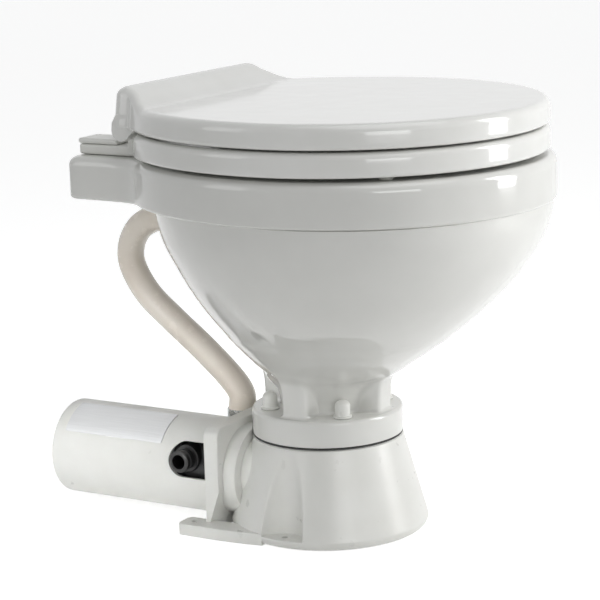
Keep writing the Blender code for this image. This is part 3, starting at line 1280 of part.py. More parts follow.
def seat_opening(grow):
    """The opening, with as many points as the seat's outline and in the same directions."""
    middle = (SEAT_OPENING_FRONT_Y + SEAT_OPENING_BACK_Y) / 2
    directions = [atan2(y - middle, x) for x, y in seat_outline(0)]
    return oval(SEAT_OPENING_HALF + grow, SEAT_OPENING_FRONT_Y - grow, SEAT_OPENING_BACK_Y + grow, 0.5,
                directions)


def seat_place(x_share, y_share):
    return SEAT_HALF_WIDTH * x_share, SEAT_CENTRE_Y + SEAT_FRONT * y_share


def seat():
    soft = SEAT_EDGE / 2
    rings = [at_height(seat_outline(soft), SEAT_BOTTOM),
             at_height(seat_outline(0), SEAT_BOTTOM + soft),
             at_height(seat_outline(0), SEAT_TOP - SEAT_EDGE),
             at_height(seat_outline(soft / 2), SEAT_TOP - soft / 1.5),
             at_height(seat_outline(SEAT_EDGE), SEAT_TOP),
             at_height(seat_opening(2 * SEAT_EDGE), SEAT_TOP - GAP),
             at_height(seat_opening(soft), SEAT_TOP - soft),
             at_height(seat_opening(0), SEAT_TOP - 2 * SEAT_EDGE),
             at_height(seat_opening(soft), SEAT_BOTTOM)]
    made = loft("seat", "enamel", rings, True)
    ear_outer = BLOCK_INNER_X - HINGE_SIDE_GAP
    for side, sign in SIDES.items():
        ends = sorted((sign * SEAT_EAR_INNER_X, sign * ear_outer))
        arm = slab("seat_arm_" + side, None, (ends[0], SEAT_EAR_ROOT_Y, RAIL_Z),
                   (ends[1], PIVOT_Y, PIVOT_Z), cutter=True)
        knuckle = rod("seat_knuckle_" + side, None, SEAT_EAR_RADIUS, ends[0], ends[1], "X",
                      (0, PIVOT_Y, PIVOT_Z), ROUND, True)
        hole = rod("seat_pin_hole_" + side, None, PIN_HOLE_RADIUS, ends[0] - OVERRUN, ends[1] + OVERRUN,
                   "X", (0, PIVOT_Y, PIVOT_Z), SMALL, True)
        join(made, arm, knuckle)
        cut(made, hole)
    number = 0
    for x_share, y_share in SEAT_BUFFER_SHARES:
        x, y = seat_place(x_share, y_share)
        for sign in SIDES.values():
            number += 1
            turned(f"seat_buffer_{number}", "clear", [
                (0, SEAT_BOTTOM - GAP), (SEAT_BUFFER_RADIUS, SEAT_BOTTOM - GAP),
                (SEAT_BUFFER_RADIUS * 0.8, RIM_TOP + GAP), (0, RIM_TOP + GAP),
            ], centre=(sign * x, y, 0), steps=TINY)


seat()


# Lid
def lid_height(y):
    """The lid's top is flat, then rises in a soft wave to the hinge end."""
    share = (y - LID_RISE_START_Y) / (LID_RISE_END_Y - LID_RISE_START_Y)
    share = min(1.0, max(0.0, share))
    return LID_TOP + (LID_BACK_TOP - LID_TOP) * share * share * (3 - 2 * share)


def lid_ring(inset, below_top, share):
    return [(x, y, lid_height(y) - below_top) for x, y in lid_outline(inset, share)]


def lid():
    top_edge = lid_ring(LID_EDGE, 0, 1)
    rings = [at_height(lid_outline(LID_RECESS_MARGIN), LID_BOTTOM + LID_RECESS_DEPTH),
             at_height(lid_outline(LID_RECESS_MARGIN - LID_RECESS_DEPTH), LID_BOTTOM),
             at_height(lid_outline(LID_EDGE / 2), LID_BOTTOM),
             at_height(lid_outline(0), LID_BOTTOM + LID_EDGE / 2),
             lid_ring(0, LID_EDGE, 0.7),
             lid_ring(LID_EDGE / 3, LID_EDGE / 3, 1),
             top_edge]
    for share in LID_TOP_SHARES:
        ring = []
        for x, y, z in top_edge:
            y_in = SEAT_CENTRE_Y + (y - SEAT_CENTRE_Y) * share
            ring.append((x * share, y_in, lid_height(y_in)))
        rings.append(ring)
    made = loft("lid", "enamel", rings, False)
    inner_x = BLOCK_OUTER_X + HINGE_SIDE_GAP
    clear = SEAT_EAR_RADIUS + 2 * HINGE_SIDE_GAP
    hinge_room = slab("hinge_room", None,
                      (-inner_x, SEAT_EAR_ROOT_Y, LID_BOTTOM - OVERRUN - LID_KNUCKLE_RADIUS),
                      (inner_x, LID_TAIL_Y + OVERRUN, PIVOT_Z + clear), cutter=True)
    for side, sign in SIDES.items():
        ends = sorted((sign * inner_x, sign * LID_KNUCKLE_OUTER_X))
        join(made, rod("lid_knuckle_" + side, None, LID_KNUCKLE_RADIUS, ends[0], ends[1], "X",
                       (0, PIVOT_Y, PIVOT_Z), ROUND, True))
    cut(made, hinge_room)
    for side, sign in SIDES.items():
        ends = sorted((sign * (inner_x - OVERRUN), sign * (PIN_END_X + GAP)))
        cut(made, rod("lid_pin_hole_" + side, None, PIN_HOLE_RADIUS, ends[0], ends[1], "X",
                      (0, PIVOT_Y, PIVOT_Z), SMALL, True))
    x, y = seat_place(*LID_BUFFER_SHARES[0])
    for side, sign in SIDES.items():
        turned("lid_buffer_" + side, "clear", [
            (0, LID_BOTTOM - GAP), (LID_BUFFER_RADIUS, LID_BOTTOM - GAP),
            (LID_BUFFER_RADIUS * 0.8, SEAT_TOP + GAP), (0, SEAT_TOP + GAP),
        ], centre=(sign * x, y, 0), steps=TINY)


lid()


# Hinges on the deck
def hinge(side, sign):
    block_ends = sorted((sign * BLOCK_INNER_X, sign * BLOCK_OUTER_X))
    floor_z = RIM_TOP + GAP
    front_y = PIVOT_Y - BLOCK_KNUCKLE_RADIUS
    pivot = (0, PIVOT_Y, PIVOT_Z)
    block = slab("hinge_block_" + side, "moulding", (block_ends[0], front_y, floor_z),
                 (block_ends[1], BLOCK_BACK_Y, BLOCK_TOP), BLOCK_EDGE)
    ear = slab("block_ear_" + side, None, (block_ends[0], front_y, floor_z + BLOCK_EDGE),
               (block_ends[1], PIVOT_Y + BLOCK_EAR_HALF, PIVOT_Z), cutter=True)
    knuckle = rod("block_knuckle_" + side, None, BLOCK_KNUCKLE_RADIUS, block_ends[0], block_ends[1], "X",
                  pivot, ROUND, True)
    middle = (sign * block_middle(), HINGE_BOLT_Y, 0)
    head_floor = BLOCK_TOP - HINGE_HEAD_HEIGHT - 2 * GAP
    join(block, ear, knuckle)
    cut(block,
        rod("block_pin_hole_" + side, None, PIN_HOLE_RADIUS, block_ends[0] - OVERRUN,
            block_ends[1] + OVERRUN, "X", pivot, SMALL, True),
        rod("block_bolt_hole_" + side, None, HINGE_BOLT_HOLE_RADIUS, floor_z - OVERRUN,
            BLOCK_TOP + OVERRUN, "Z", middle, SMALL, True),
        rod("block_head_hole_" + side, None, HINGE_HEAD_RADIUS + GAP, head_floor, BLOCK_TOP + OVERRUN,
            "Z", middle, SMALL, True))

    slab("hinge_cap_" + side, "moulding",
         (block_ends[0] - CAP_OVERHANG, CAP_FRONT_Y, BLOCK_TOP + GAP),
         (block_ends[1] + CAP_OVERHANG, BLOCK_BACK_Y + CAP_OVERHANG, CAP_TOP), BLOCK_EDGE * 0.8)

    head_low = head_floor + GAP
    bolt_end = head_low - HINGE_BOLT_LENGTH
    turned("hinge_bolt_" + side, "steel", [
        (0, head_low + HINGE_HEAD_HEIGHT), (HINGE_HEAD_RADIUS, head_low + HINGE_HEAD_HEIGHT),
        (HINGE_HEAD_RADIUS, head_low), (HINGE_BOLT_RADIUS, head_low), (HINGE_BOLT_RADIUS, bolt_end),
        (0, bolt_end),
    ], "Z", middle, TINY)

    nut_top = BAND_BOTTOM + DECK_POCKET_DEPTH - GAP
    nut_low = nut_top - WING_NUT_HEIGHT
    nut = turned("hinge_wing_nut_" + side, "moulding", [
        (HINGE_BOLT_HOLE_RADIUS, nut_top), (WING_NUT_RADIUS, nut_top), (WING_NUT_RADIUS * 0.7, nut_low),
        (HINGE_BOLT_HOLE_RADIUS, nut_low),
    ], "Z", middle, SMALL)
    for wing_sign in (-1, 1):
        wing_ends = sorted((wing_sign * WING_NUT_RADIUS * 0.7, wing_sign * WING_REACH))
        x = middle[0]
        join(nut, slab(f"wing_{side}_{wing_ends[1] > 0}", None,
                       (x + wing_ends[0], HINGE_BOLT_Y - WING_WIDTH / 2, nut_top - WING_HEIGHT),
                       (x + wing_ends[1], HINGE_BOLT_Y + WING_WIDTH / 2, nut_top - 2 * GAP),
                       WING_WIDTH / 3, 1, cutter=True))

    pin_ends = sorted((sign * SEAT_EAR_INNER_X, sign * PIN_END_X))
    rod("hinge_pin_" + side, "steel", PIN_RADIUS, pin_ends[0], pin_ends[1], "X", pivot, TINY)


for hinge_side, hinge_sign in SIDES.items():
    hinge(hinge_side, hinge_sign)


# Moving pieces hang from empties on their joint axes
def pivot_empty(name, spot, pieces):
    empty = bpy.data.objects.new(name, None)
    empty.location = spot
    model.objects.link(empty)
    bpy.context.view_layer.update()
    for piece_name in pieces:
        piece = bpy.data.objects[piece_name]
        piece.parent = empty
        piece.matrix_parent_inverse = empty.matrix_world.inverted()
    return empty


def settle():
    """Applies every part's modifiers, so that round faces can be shaded smooth between sharp edges."""
    bpy.context.view_layer.update()
    graph = bpy.context.evaluated_depsgraph_get()
    made = {}
    for thing in model.objects:
        made[thing] = bpy.data.meshes.new_from_object(thing.evaluated_get(graph))
    for thing, mesh in made.items():
        thing.modifiers.clear()
        thing.data = mesh
        bm = bmesh.new()
        bm.from_mesh(mesh)
        bmesh.ops.remove_doubles(bm, verts=bm.verts, dist=MERGE / 50)
        bm.to_mesh(mesh)
        bm.free()
        mesh.shade_smooth()
        mesh.set_sharp_from_angle(angle=SMOOTH_ANGLE)


settle()
hinge_spot = (0, PIVOT_Y, PIVOT_Z)
seat_buffers = [f"seat_buffer_{i + 1}" for i in range(2 * len(SEAT_BUFFER_SHARES))]
seat_pivot = pivot_empty("seat_pivot", hinge_spot, ["seat"] + seat_buffers)
lid_pivot = pivot_empty("lid_pivot", hinge_spot, ["lid", "lid_buffer_left", "lid_buffer_right"])
pivot_empty("rotor_line", PUMP_LINE, ["shaft", "armature", "commutator", "macerator_blade",
                                      "waste_impeller", "flexible_impeller"])
pivot_empty("elbow_swivel", (DISCHARGE_END_X, DISCHARGE_Y, DISCHARGE_Z), ["discharge_elbow"])
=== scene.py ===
import json
from math import acos, asin, atan2, cos, pi, radians, sin, sqrt

import bmesh
import bpy
import numpy as np
from mathutils import Matrix, Vector


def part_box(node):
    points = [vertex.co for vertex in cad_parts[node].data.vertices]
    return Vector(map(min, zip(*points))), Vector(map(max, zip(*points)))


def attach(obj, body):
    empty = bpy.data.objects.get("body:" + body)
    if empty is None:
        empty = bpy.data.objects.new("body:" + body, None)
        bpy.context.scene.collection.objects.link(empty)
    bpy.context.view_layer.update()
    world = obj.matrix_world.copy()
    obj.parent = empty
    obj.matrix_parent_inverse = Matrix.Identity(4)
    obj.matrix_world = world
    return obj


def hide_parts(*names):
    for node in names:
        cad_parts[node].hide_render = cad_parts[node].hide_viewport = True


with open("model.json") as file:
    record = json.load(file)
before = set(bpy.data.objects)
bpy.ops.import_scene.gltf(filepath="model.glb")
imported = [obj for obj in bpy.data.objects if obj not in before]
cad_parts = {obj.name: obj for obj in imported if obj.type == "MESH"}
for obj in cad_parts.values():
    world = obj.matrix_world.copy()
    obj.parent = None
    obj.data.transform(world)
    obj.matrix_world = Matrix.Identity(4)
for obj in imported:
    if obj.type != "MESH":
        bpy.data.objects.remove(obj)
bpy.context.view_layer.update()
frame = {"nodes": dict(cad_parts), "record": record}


# Studio: the camera stands on the pump's side, a little above the rim. The floor is a plain pale
# sheet, and soft lamps hang above, beside and low in front, with plain white all round.
def linear(hex_colour):
    """An sRGB hex colour as the linear one that a shader takes."""
    out = []
    for i in (0, 2, 4):
        share = int(hex_colour[i:i + 2], 16) / 255
        out.append(share / 12.92 if share <= 0.04045 else ((share + 0.055) / 1.055) ** 2.4)
    return (*out, 1.0)


def add_node(tree, kind, inputs=None, **settings):
    """Adds a node with its settings. An input is a value, or another node's output to link."""
    node = tree.nodes.new("ShaderNode" + kind)
    for name, value in settings.items():
        setattr(node, name, value)
    for name, value in (inputs or {}).items():
        if isinstance(value, bpy.types.NodeSocket):
            tree.links.new(value, node.inputs[name])
        else:
            node.inputs[name].default_value = value
    return node


camera_turn, camera_rise, camera_roll = radians(-59.33), radians(12.17), radians(1.576)
camera_distance, target = 2.0, Vector((0, 0, 0.196))
photo_width, shift_x_px, shift_y_px = 600, -24.96, 10.12
away = Vector((sin(camera_turn) * cos(camera_rise), -cos(camera_turn) * cos(camera_rise),
               sin(camera_rise)))
level = Vector((cos(camera_turn), sin(camera_turn), 0))
upright = away.cross(level)
across = level * cos(camera_roll) - upright * sin(camera_roll)
upward = level * sin(camera_roll) + upright * cos(camera_roll)
lens = bpy.data.cameras.new("camera")
lens.lens = 135.6
lens.sensor_width = 36
lens.shift_x = shift_x_px / photo_width
lens.shift_y = shift_y_px / photo_width
camera = bpy.data.objects.new("camera", lens)
facing = Matrix((across, upward, away)).transposed().to_4x4()
camera.matrix_world = Matrix.Translation(target + away * camera_distance) @ facing
bpy.context.scene.collection.objects.link(camera)
bpy.context.scene.camera = camera
bpy.context.scene.view_settings.view_transform = "Standard"


def lamp(name, spot, aim, size, power, spread=180):
    """A soft lamp at a spot given as metres across, up and towards the camera, aimed at a point."""
    light = bpy.data.lights.new(name, "AREA")
    light.shape = "RECTANGLE"
    light.size, light.size_y = size
    light.energy = power
    light.spread = radians(spread)
    place = level * spot[0] + Vector((0, 0, 1)) * spot[1] + Vector((away.x, away.y, 0)) * spot[2]
    thing = bpy.data.objects.new(name, light)
    thing.location = place
    thing.rotation_mode = "QUATERNION"
    thing.rotation_quaternion = (Vector(aim) - place).to_track_quat("-Z", "Y")
    bpy.context.scene.collection.objects.link(thing)


lamp("lamp_above", (0.25, 1.75, 0.35), (0, 0, 0.30), (1.3, 1.3), 6.5)
lamp("lamp_right", (1.30, 0.62, 0.12), (0, 0, 0.22), (0.34, 1.05), 10)
lamp("lamp_low", (0.55, 0.42, 1.60), (0, 0, 0.05), (0.7, 0.5), 4)
lamp("lamp_left", (-1.5, 0.75, 0.55), (0, 0, 0.20), (0.6, 1.0), 2.5)
lamp("lamp_for_pump", (-1.00, 0.22, 0.95), (-0.03, 0.215, 0.04), (0.30, 0.30), 0.17, 18)


def seen_share(tree):
    """1 for the rays that show a thing, straight, mirrored or through glass, and 0 for its light."""
    path = add_node(tree, "LightPath")
    seen = path.outputs["Is Camera Ray"]
    for kind in ("Is Glossy Ray", "Is Transmission Ray"):
        seen = add_node(tree, "Math", {0: seen, 1: path.outputs[kind]}, operation="MAXIMUM").outputs[0]
    return seen


world = bpy.data.worlds.new("plain_white")
world.use_nodes = True
tree = world.node_tree
tree.nodes.clear()
dim = add_node(tree, "Background", {"Color": linear("f4f6f8"), "Strength": 0.22})
white = add_node(tree, "Background", {"Color": (1, 1, 1, 1), "Strength": 1.0})
both = add_node(tree, "MixShader", {0: seen_share(tree), 1: dim.outputs[0], 2: white.outputs[0]})
add_node(tree, "OutputWorld", {"Surface": both.outputs[0]})
bpy.context.scene.world = world


def start_material(name, shader_inputs):
    """A new material with its main shader set: values go straight onto the shader's sockets."""
    material = bpy.data.materials.new(name)
    material.use_nodes = True
    tree = material.node_tree
    shader = tree.nodes["Principled BSDF"]
    for key, value in shader_inputs.items():
        shader.inputs[key].default_value = value
    return material, tree, shader


floor_half, floor_gap = 9.0, 0.0002
bm = bmesh.new()
bmesh.ops.create_grid(bm, x_segments=1, y_segments=1, size=floor_half)
bmesh.ops.translate(bm, verts=bm.verts, vec=(0, 0, -floor_gap))
mesh = bpy.data.meshes.new("studio_floor")
bm.to_mesh(mesh)
bm.free()
floor = bpy.data.objects.new("studio_floor", mesh)
bpy.context.scene.collection.objects.link(floor)
# Matt paper: it takes the object's shadow, and reads white around it
paper, tree, shader = start_material("studio_paper_matt", {"Base Color": linear("e9e9e8"), "Roughness": 0.9})
glow = add_node(tree, "Emission", {"Color": (1, 1, 1, 1), "Strength": 0.72})
lit = add_node(tree, "AddShader", {0: shader.outputs[0], 1: glow.outputs[0]})
both = add_node(tree, "MixShader", {0: seen_share(tree), 1: shader.outputs[0], 2: lit.outputs[0]})
tree.links.new(both.outputs[0], tree.nodes["Material Output"].inputs["Surface"])
mesh.materials.append(paper)


# Foot: one white moulding that carries everything. It is a hollow cone with two arched screw
# recesses, a bracket plate and two lugs behind, and the round housing that the pump bolts to.
PUMP_X, PUMP_Z = -0.028, 0.050
PUMP_LINE = (PUMP_X, 0, PUMP_Z)
BRANCH_Y, BRANCH_Z = 0.0705, 0.066
BRANCH_LINE = (0, BRANCH_Y, BRANCH_Z)
FOOT_RADIUS, FOOT_EDGE, FOOT_WALL = 0.0885, 0.008, 0.004
CONE_TOP, CONE_HEIGHT, SUMP_RADIUS = 0.067, 0.0855, 0.040
RECESS_RADIUS, RECESS_CENTRE, RECESS_FLOOR, RECESS_SOFT = 0.0217, 0.0907, 0.009, 0.0014
PLATE_HALF, PLATE_TOP, PLATE_CORNER, PLATE_Y, PLATE_THICK = 0.075, 0.097, 0.010, 0.070, 0.015
LUG_HALF, LUG_INNER, LUG_START, LUG_END, LUG_CORNER, LUG_TOP = 0.090, 0.067, 0.0205, 0.107, 0.006, 0.0105
BOLT_CIRCLE, BOLT_HOLE, SCREW_HOLE = 0.0525, 0.0033, 0.0028
SHARP = radians(32)
# How near points are made one: on a lathe's axis, where a skin closes, after a cut, and in slivers
MERGE, SEAM_MERGE, CUT_MERGE, SLIVER = 0.00003, 0.0000005, 0.000002, 0.00002


def quarter_turn(steps):
    """Sine and cosine at even steps of a quarter turn."""
    return [(sin(pi / 2 * i / steps), cos(pi / 2 * i / steps)) for i in range(steps + 1)]


def arc(x, y, radius, start, end, steps):
    """Points on a round stretch between two angles in degrees."""
    turns = np.radians(np.linspace(start, end, steps + 1))
    return [(x + radius * cos(t), y + radius * sin(t)) for t in turns]


def outward(bm):
    """Turns the faces of a closed shape outwards."""
    bmesh.ops.recalc_face_normals(bm, faces=bm.faces)
    if bm.calc_volume(signed=True) < 0:
        bmesh.ops.reverse_faces(bm, faces=bm.faces)


def skin(rings, close=False, caps=False):
    """A surface grown ring by ring, each extruded from the last. It closes on itself, or gets end caps."""
    bm = bmesh.new()
    order = bm.verts.layers.int.new("order")
    first = [bm.verts.new(p) for p in rings[0]]
    for number, vert in enumerate(first):
        vert[order] = number
    start = edges = [bm.edges.new(pair) for pair in zip(first, first[1:] + first[:1])]
    for points in rings[1:] + ([rings[0]] if close else []):
        grown = bmesh.ops.extrude_edge_only(bm, edges=edges)["geom"]
        new = {v for v in grown if isinstance(v, bmesh.types.BMVert)}
        edges = [e for e in grown if isinstance(e, bmesh.types.BMEdge) and set(e.verts) <= new]
        for vert in new:
            vert.co = points[vert[order]]
    if close:
        bmesh.ops.remove_doubles(bm, verts=first + list(new), dist=SEAM_MERGE)
    if caps:
        bmesh.ops.contextual_create(bm, geom=start)
        bmesh.ops.contextual_create(bm, geom=edges)
    outward(bm)
    return bm


def turned(profile, axis="Z", centre=(0, 0, 0), steps=96):
    """A lathe shape from pairs of radius and place along the axis."""
    bm = bmesh.new()
    verts = [bm.verts.new((r, 0, z)) for r, z in profile]
    edges = [bm.edges.new(pair) for pair in zip(verts, verts[1:])]
    if profile[0][0] > 0 and profile[-1][0] > 0:
        edges.append(bm.edges.new((verts[-1], verts[0])))
    bmesh.ops.spin(bm, geom=verts + edges, cent=(0, 0, 0), axis=(0, 0, 1), angle=2 * pi, steps=steps,
                   use_merge=True)
    bmesh.ops.remove_doubles(bm, verts=bm.verts, dist=MERGE)
    if axis == "Y":
        bmesh.ops.rotate(bm, verts=bm.verts, cent=(0, 0, 0), matrix=Matrix.Rotation(-pi / 2, 3, "X"))
    if axis == "X":
        bmesh.ops.rotate(bm, verts=bm.verts, cent=(0, 0, 0), matrix=Matrix.Rotation(pi / 2, 3, "Y"))
    bmesh.ops.translate(bm, verts=bm.verts, vec=centre)
    outward(bm)
    return bm


def rod(radius, start, end, axis="Z", centre=(0, 0, 0), steps=64, edge=0.0):
    """A round bar, plain as for cutting a hole, or with both rims bevelled by an edge."""
    side = [(radius, start), (radius, end)]
    if edge:
        side = [(radius - edge, start), (radius, start + edge), (radius, end - edge), (radius - edge, end)]
    return turned([(0, start), *side, (0, end)], axis, centre, steps)


def rounded(bm, edges, width, segments=3, clamp=True):
    """The shape with the given edges rounded off."""
    bmesh.ops.bevel(bm, geom=edges, offset=width, segments=segments, profile=0.5, affect="EDGES",
                    material=-1, clamp_overlap=clamp)
    return bm


def block(low, high, edge=0.0, segments=3):
    """A block between two corners, with its edges rounded where a width is given."""
    low, high = Vector(low), Vector(high)
    bm = bmesh.new()
    bmesh.ops.create_cube(bm, size=1)
    bmesh.ops.scale(bm, verts=bm.verts, vec=high - low)
    bmesh.ops.translate(bm, verts=bm.verts, vec=(low + high) / 2)
    return rounded(bm, bm.edges, edge, segments) if edge else bm


def slab(outline, thickness, edge=0.0):
    """A flat outline of points, extruded along a vector, with its rims rounded."""
    bm = bmesh.new()
    face = bm.faces.new([bm.verts.new(p) for p in outline])
    grown = bmesh.ops.extrude_face_region(bm, geom=[face])["geom"]
    bmesh.ops.translate(bm, verts=[v for v in grown if isinstance(v, bmesh.types.BMVert)], vec=thickness)
    if face not in set(bm.faces):
        bmesh.ops.contextual_create(bm, geom=[e for e in bm.edges if e.is_boundary])
    outward(bm)
    if edge:
        along = Vector(thickness).normalized()
        rims = [e for e in bm.edges if abs((e.verts[1].co - e.verts[0].co).normalized().dot(along)) < 0.5]
        rounded(bm, rims, edge)
    return bm


def shape_with(bm, joined=(), cut=()):
    """The shape with others joined to it and then others cut out of it."""
    things = []
    for number, part in enumerate([bm, *joined, *cut]):
        mesh = bpy.data.meshes.new(f"blank_{number}")
        part.to_mesh(mesh)
        part.free()
        things.append(bpy.data.objects.new(f"blank_{number}", mesh))
        bpy.context.scene.collection.objects.link(things[-1])
    for number, tool in enumerate(things[1:]):
        step = things[0].modifiers.new(f"step_{number}", "BOOLEAN")
        step.operation = "UNION" if number < len(joined) else "DIFFERENCE"
        step.solver = "MANIFOLD"
        step.object = tool
    bpy.context.view_layer.update()
    made = bpy.data.meshes.new_from_object(things[0].evaluated_get(bpy.context.evaluated_depsgraph_get()))
    out = bmesh.new()
    out.from_mesh(made)
    bmesh.ops.remove_doubles(out, verts=out.verts, dist=CUT_MERGE)
    bmesh.ops.dissolve_degenerate(out, edges=out.edges, dist=SLIVER)
    for thing in things:
        bpy.data.objects.remove(thing)
    bpy.data.meshes.remove(made)
    return out


def keep(name, bm, material, finish, *nodes, body="bowl_and_pump", soften=0.0):
    """Makes the finished piece, sets it on its body, and lets it stand for its CAD nodes."""
    mesh = bpy.data.meshes.new(name)
    bm.to_mesh(mesh)
    bm.free()
    mesh.materials.append(material)
    mesh.shade_smooth()
    mesh.set_sharp_from_angle(angle=SHARP)
    piece = bpy.data.objects.new(name, mesh)
    bpy.context.scene.collection.objects.link(piece)
    if soften:
        edge = piece.modifiers.new("soft_edges", "BEVEL")
        edge.width = soften
        edge.segments = 2
        edge.limit_method = "ANGLE"
        edge.angle_limit = SHARP
        edge.use_clamp_overlap = True
        edge.harden_normals = True
    shade = piece.modifiers.new("even_shade", "WEIGHTED_NORMAL")
    shade.keep_sharp = True
    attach(piece, body)
    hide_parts(*nodes)


def finished(name, shader_inputs, clouds, gloss, reliefs):
    """A material whose colour, roughness and height wander over sizes in millimetres.

    The clouds are a size, two hex colours and a detail, the gloss is a size and two roughnesses or
    nothing, and each relief is a size, a height in millimetres and a detail."""
    material, tree, shader = start_material(name, shader_inputs)
    place = add_node(tree, "TexCoord").outputs["Object"]
    size, dark, light, detail = clouds
    noise = add_node(tree, "TexNoise", {"Vector": place, "Scale": 1000 / size, "Detail": detail})
    share = add_node(tree, "MapRange", {"Value": noise.outputs["Fac"], "From Min": 0.3, "From Max": 0.7})
    colours = {"Fac": share.outputs[0], "Color1": linear(dark), "Color2": linear(light)}
    tree.links.new(add_node(tree, "MixRGB", colours).outputs[0], shader.inputs["Base Color"])
    if gloss:
        size, low, high = gloss
        noise = add_node(tree, "TexNoise", {"Vector": place, "Scale": 1000 / size, "Detail": 4.0})
        rough = add_node(tree, "MapRange", {"Value": noise.outputs["Fac"], "From Min": 0.3, "From Max": 0.7,
                                            "To Min": low, "To Max": high})
        tree.links.new(rough.outputs[0], shader.inputs["Roughness"])
    hills = {"Strength": 1.0}
    for size, height, detail in reliefs:
        noise = add_node(tree, "TexNoise", {"Vector": place, "Scale": 1000 / size, "Detail": detail})
        bump = add_node(tree, "Bump", hills | {"Height": noise.outputs["Fac"], "Distance": height / 1000})
        hills["Normal"] = bump.outputs["Normal"]
    tree.links.new(hills["Normal"], shader.inputs["Normal"])
    return material


# ABS, moulded in a lightly textured steel tool: satin, with a faint cloud and a fine grain
plastic = finished("white_abs_satin", {"Roughness": 0.32, "IOR": 1.53}, (45, "e3e3de", "e9e9e5", 3),
                   (18, 0.27, 0.38), [(34, 0.05, 2), (1.4, 0.012, 2)])

slope = (FOOT_RADIUS - CONE_TOP) / (CONE_HEIGHT - FOOT_EDGE)
circle = [2 * pi * i / 360 for i in range(360)]


def cone_radius(z):
    """The cone's plain radius at a height."""
    return FOOT_RADIUS - slope * max(0.0, z - FOOT_EDGE)


def recess_reach(angle):
    """How far out a screw recess leaves material, along a direction from the middle."""
    turn = (angle + pi / 2) % pi - pi / 2
    side = RECESS_CENTRE * sin(turn)
    if abs(side) >= RECESS_RADIUS:
        return sqrt(RECESS_CENTRE ** 2 - RECESS_RADIUS ** 2) + 2 * (abs(side) - RECESS_RADIUS)
    return RECESS_CENTRE * cos(turn) - sqrt(RECESS_RADIUS ** 2 - side ** 2)


def level_ring(z, radius_at):
    """A level ring of points round the middle, with a radius for each direction."""
    return [(radius_at(a) * cos(a), radius_at(a) * sin(a), z) for a in circle]


def recessed(z):
    """The cone's ring at a height, where the smaller of cone and recess holds, with a soft corner."""
    def radius_at(angle):
        cone, recess = cone_radius(z), recess_reach(angle)
        return (cone + recess - sqrt((cone - recess) ** 2 + RECESS_SOFT ** 2)) / 2
    return level_ring(z, radius_at)


rings = [level_ring(FOOT_EDGE * (1 - c), lambda a: FOOT_RADIUS - FOOT_EDGE * (1 - s))
         for s, c in quarter_turn(6)]
rings.append(level_ring(RECESS_FLOOR - 0.0003, lambda a: cone_radius(RECESS_FLOOR)))
rings += [recessed(z) for z in np.linspace(RECESS_FLOOR, CONE_HEIGHT - 0.001, 41)]
rings += [level_ring(CONE_HEIGHT, lambda a: CONE_TOP * share) for share in (0.985, 0.5, 0.02)]
foot = skin(rings, caps=True)

sunk = 0.004
outline = [(PLATE_HALF, -sunk)]
for side, start in ((1, 0), (-1, 90)):
    corner_x = side * (PLATE_HALF - PLATE_CORNER)
    outline += arc(corner_x, PLATE_TOP - PLATE_CORNER, PLATE_CORNER, start, start + 90, 8)
plate = slab([(x, PLATE_Y, z) for x, z in outline + [(-PLATE_HALF, -sunk)]], (0, PLATE_THICK, 0), 0.0014)
# The plate's foot is cut thinner in front, down a slope to the lugs
taper = [(0.066, 0.040), (PLATE_Y, 0.040), (0.081, 0.0084), (0.081, -0.008), (0.066, -0.008)]
plate = shape_with(plate, cut=[slab([(-0.09, y, z) for y, z in taper], (0.18, 0, 0))])
housing = turned([(0, 0.0570), (0.0396, 0.0570), (0.0406, 0.0574), (0.0410, 0.0584), (0.0410, 0.083),
                  (0, 0.083)], "Y", PUMP_LINE)
housing_neck = turned([(0, 0.0455), (0.0298, 0.0455), (0.0306, 0.0458), (0.0310, 0.0467), (0.0310, 0.083),
                       (0, 0.083)], "Y", PUMP_LINE)
branch = turned([(0, PUMP_X), (0.0135, PUMP_X), (0.0135, 0.0757), (0.0131, 0.0765), (0.0115, 0.0765),
                 (0.0115, 0.0840), (0.0111, 0.0845), (0, 0.0845)], "X", BRANCH_LINE)
# The lugs' outer edge runs on from the foot's round and ends straight
outline = [(0.0855, LUG_START), (0.0877, 0.034), (0.0893, 0.050), (LUG_HALF, 0.066)]
outline += arc(LUG_HALF - LUG_CORNER, LUG_END - LUG_CORNER, LUG_CORNER, 0, 90, 6)
outline += arc(LUG_INNER + LUG_CORNER, LUG_END - LUG_CORNER, LUG_CORNER, 90, 180, 6)
outline.append((LUG_INNER, LUG_START))
lugs = [slab([(side * x, y, -0.002) for x, y in outline], (0, 0, LUG_TOP + 0.002), 0.0010)
        for side in (1, -1)]

cavity_top = CONE_HEIGHT - 2 * FOOT_WALL
inner_top = FOOT_RADIUS - FOOT_WALL - slope * (cavity_top - FOOT_EDGE)
hollow = turned([(0, 0.017), (0.044, 0.017), (0.044, cavity_top), (inner_top, cavity_top),
                 (FOOT_RADIUS - FOOT_WALL, FOOT_EDGE), (FOOT_RADIUS - 2 * FOOT_WALL - FOOT_EDGE, -0.008),
                 (0, -0.008)])
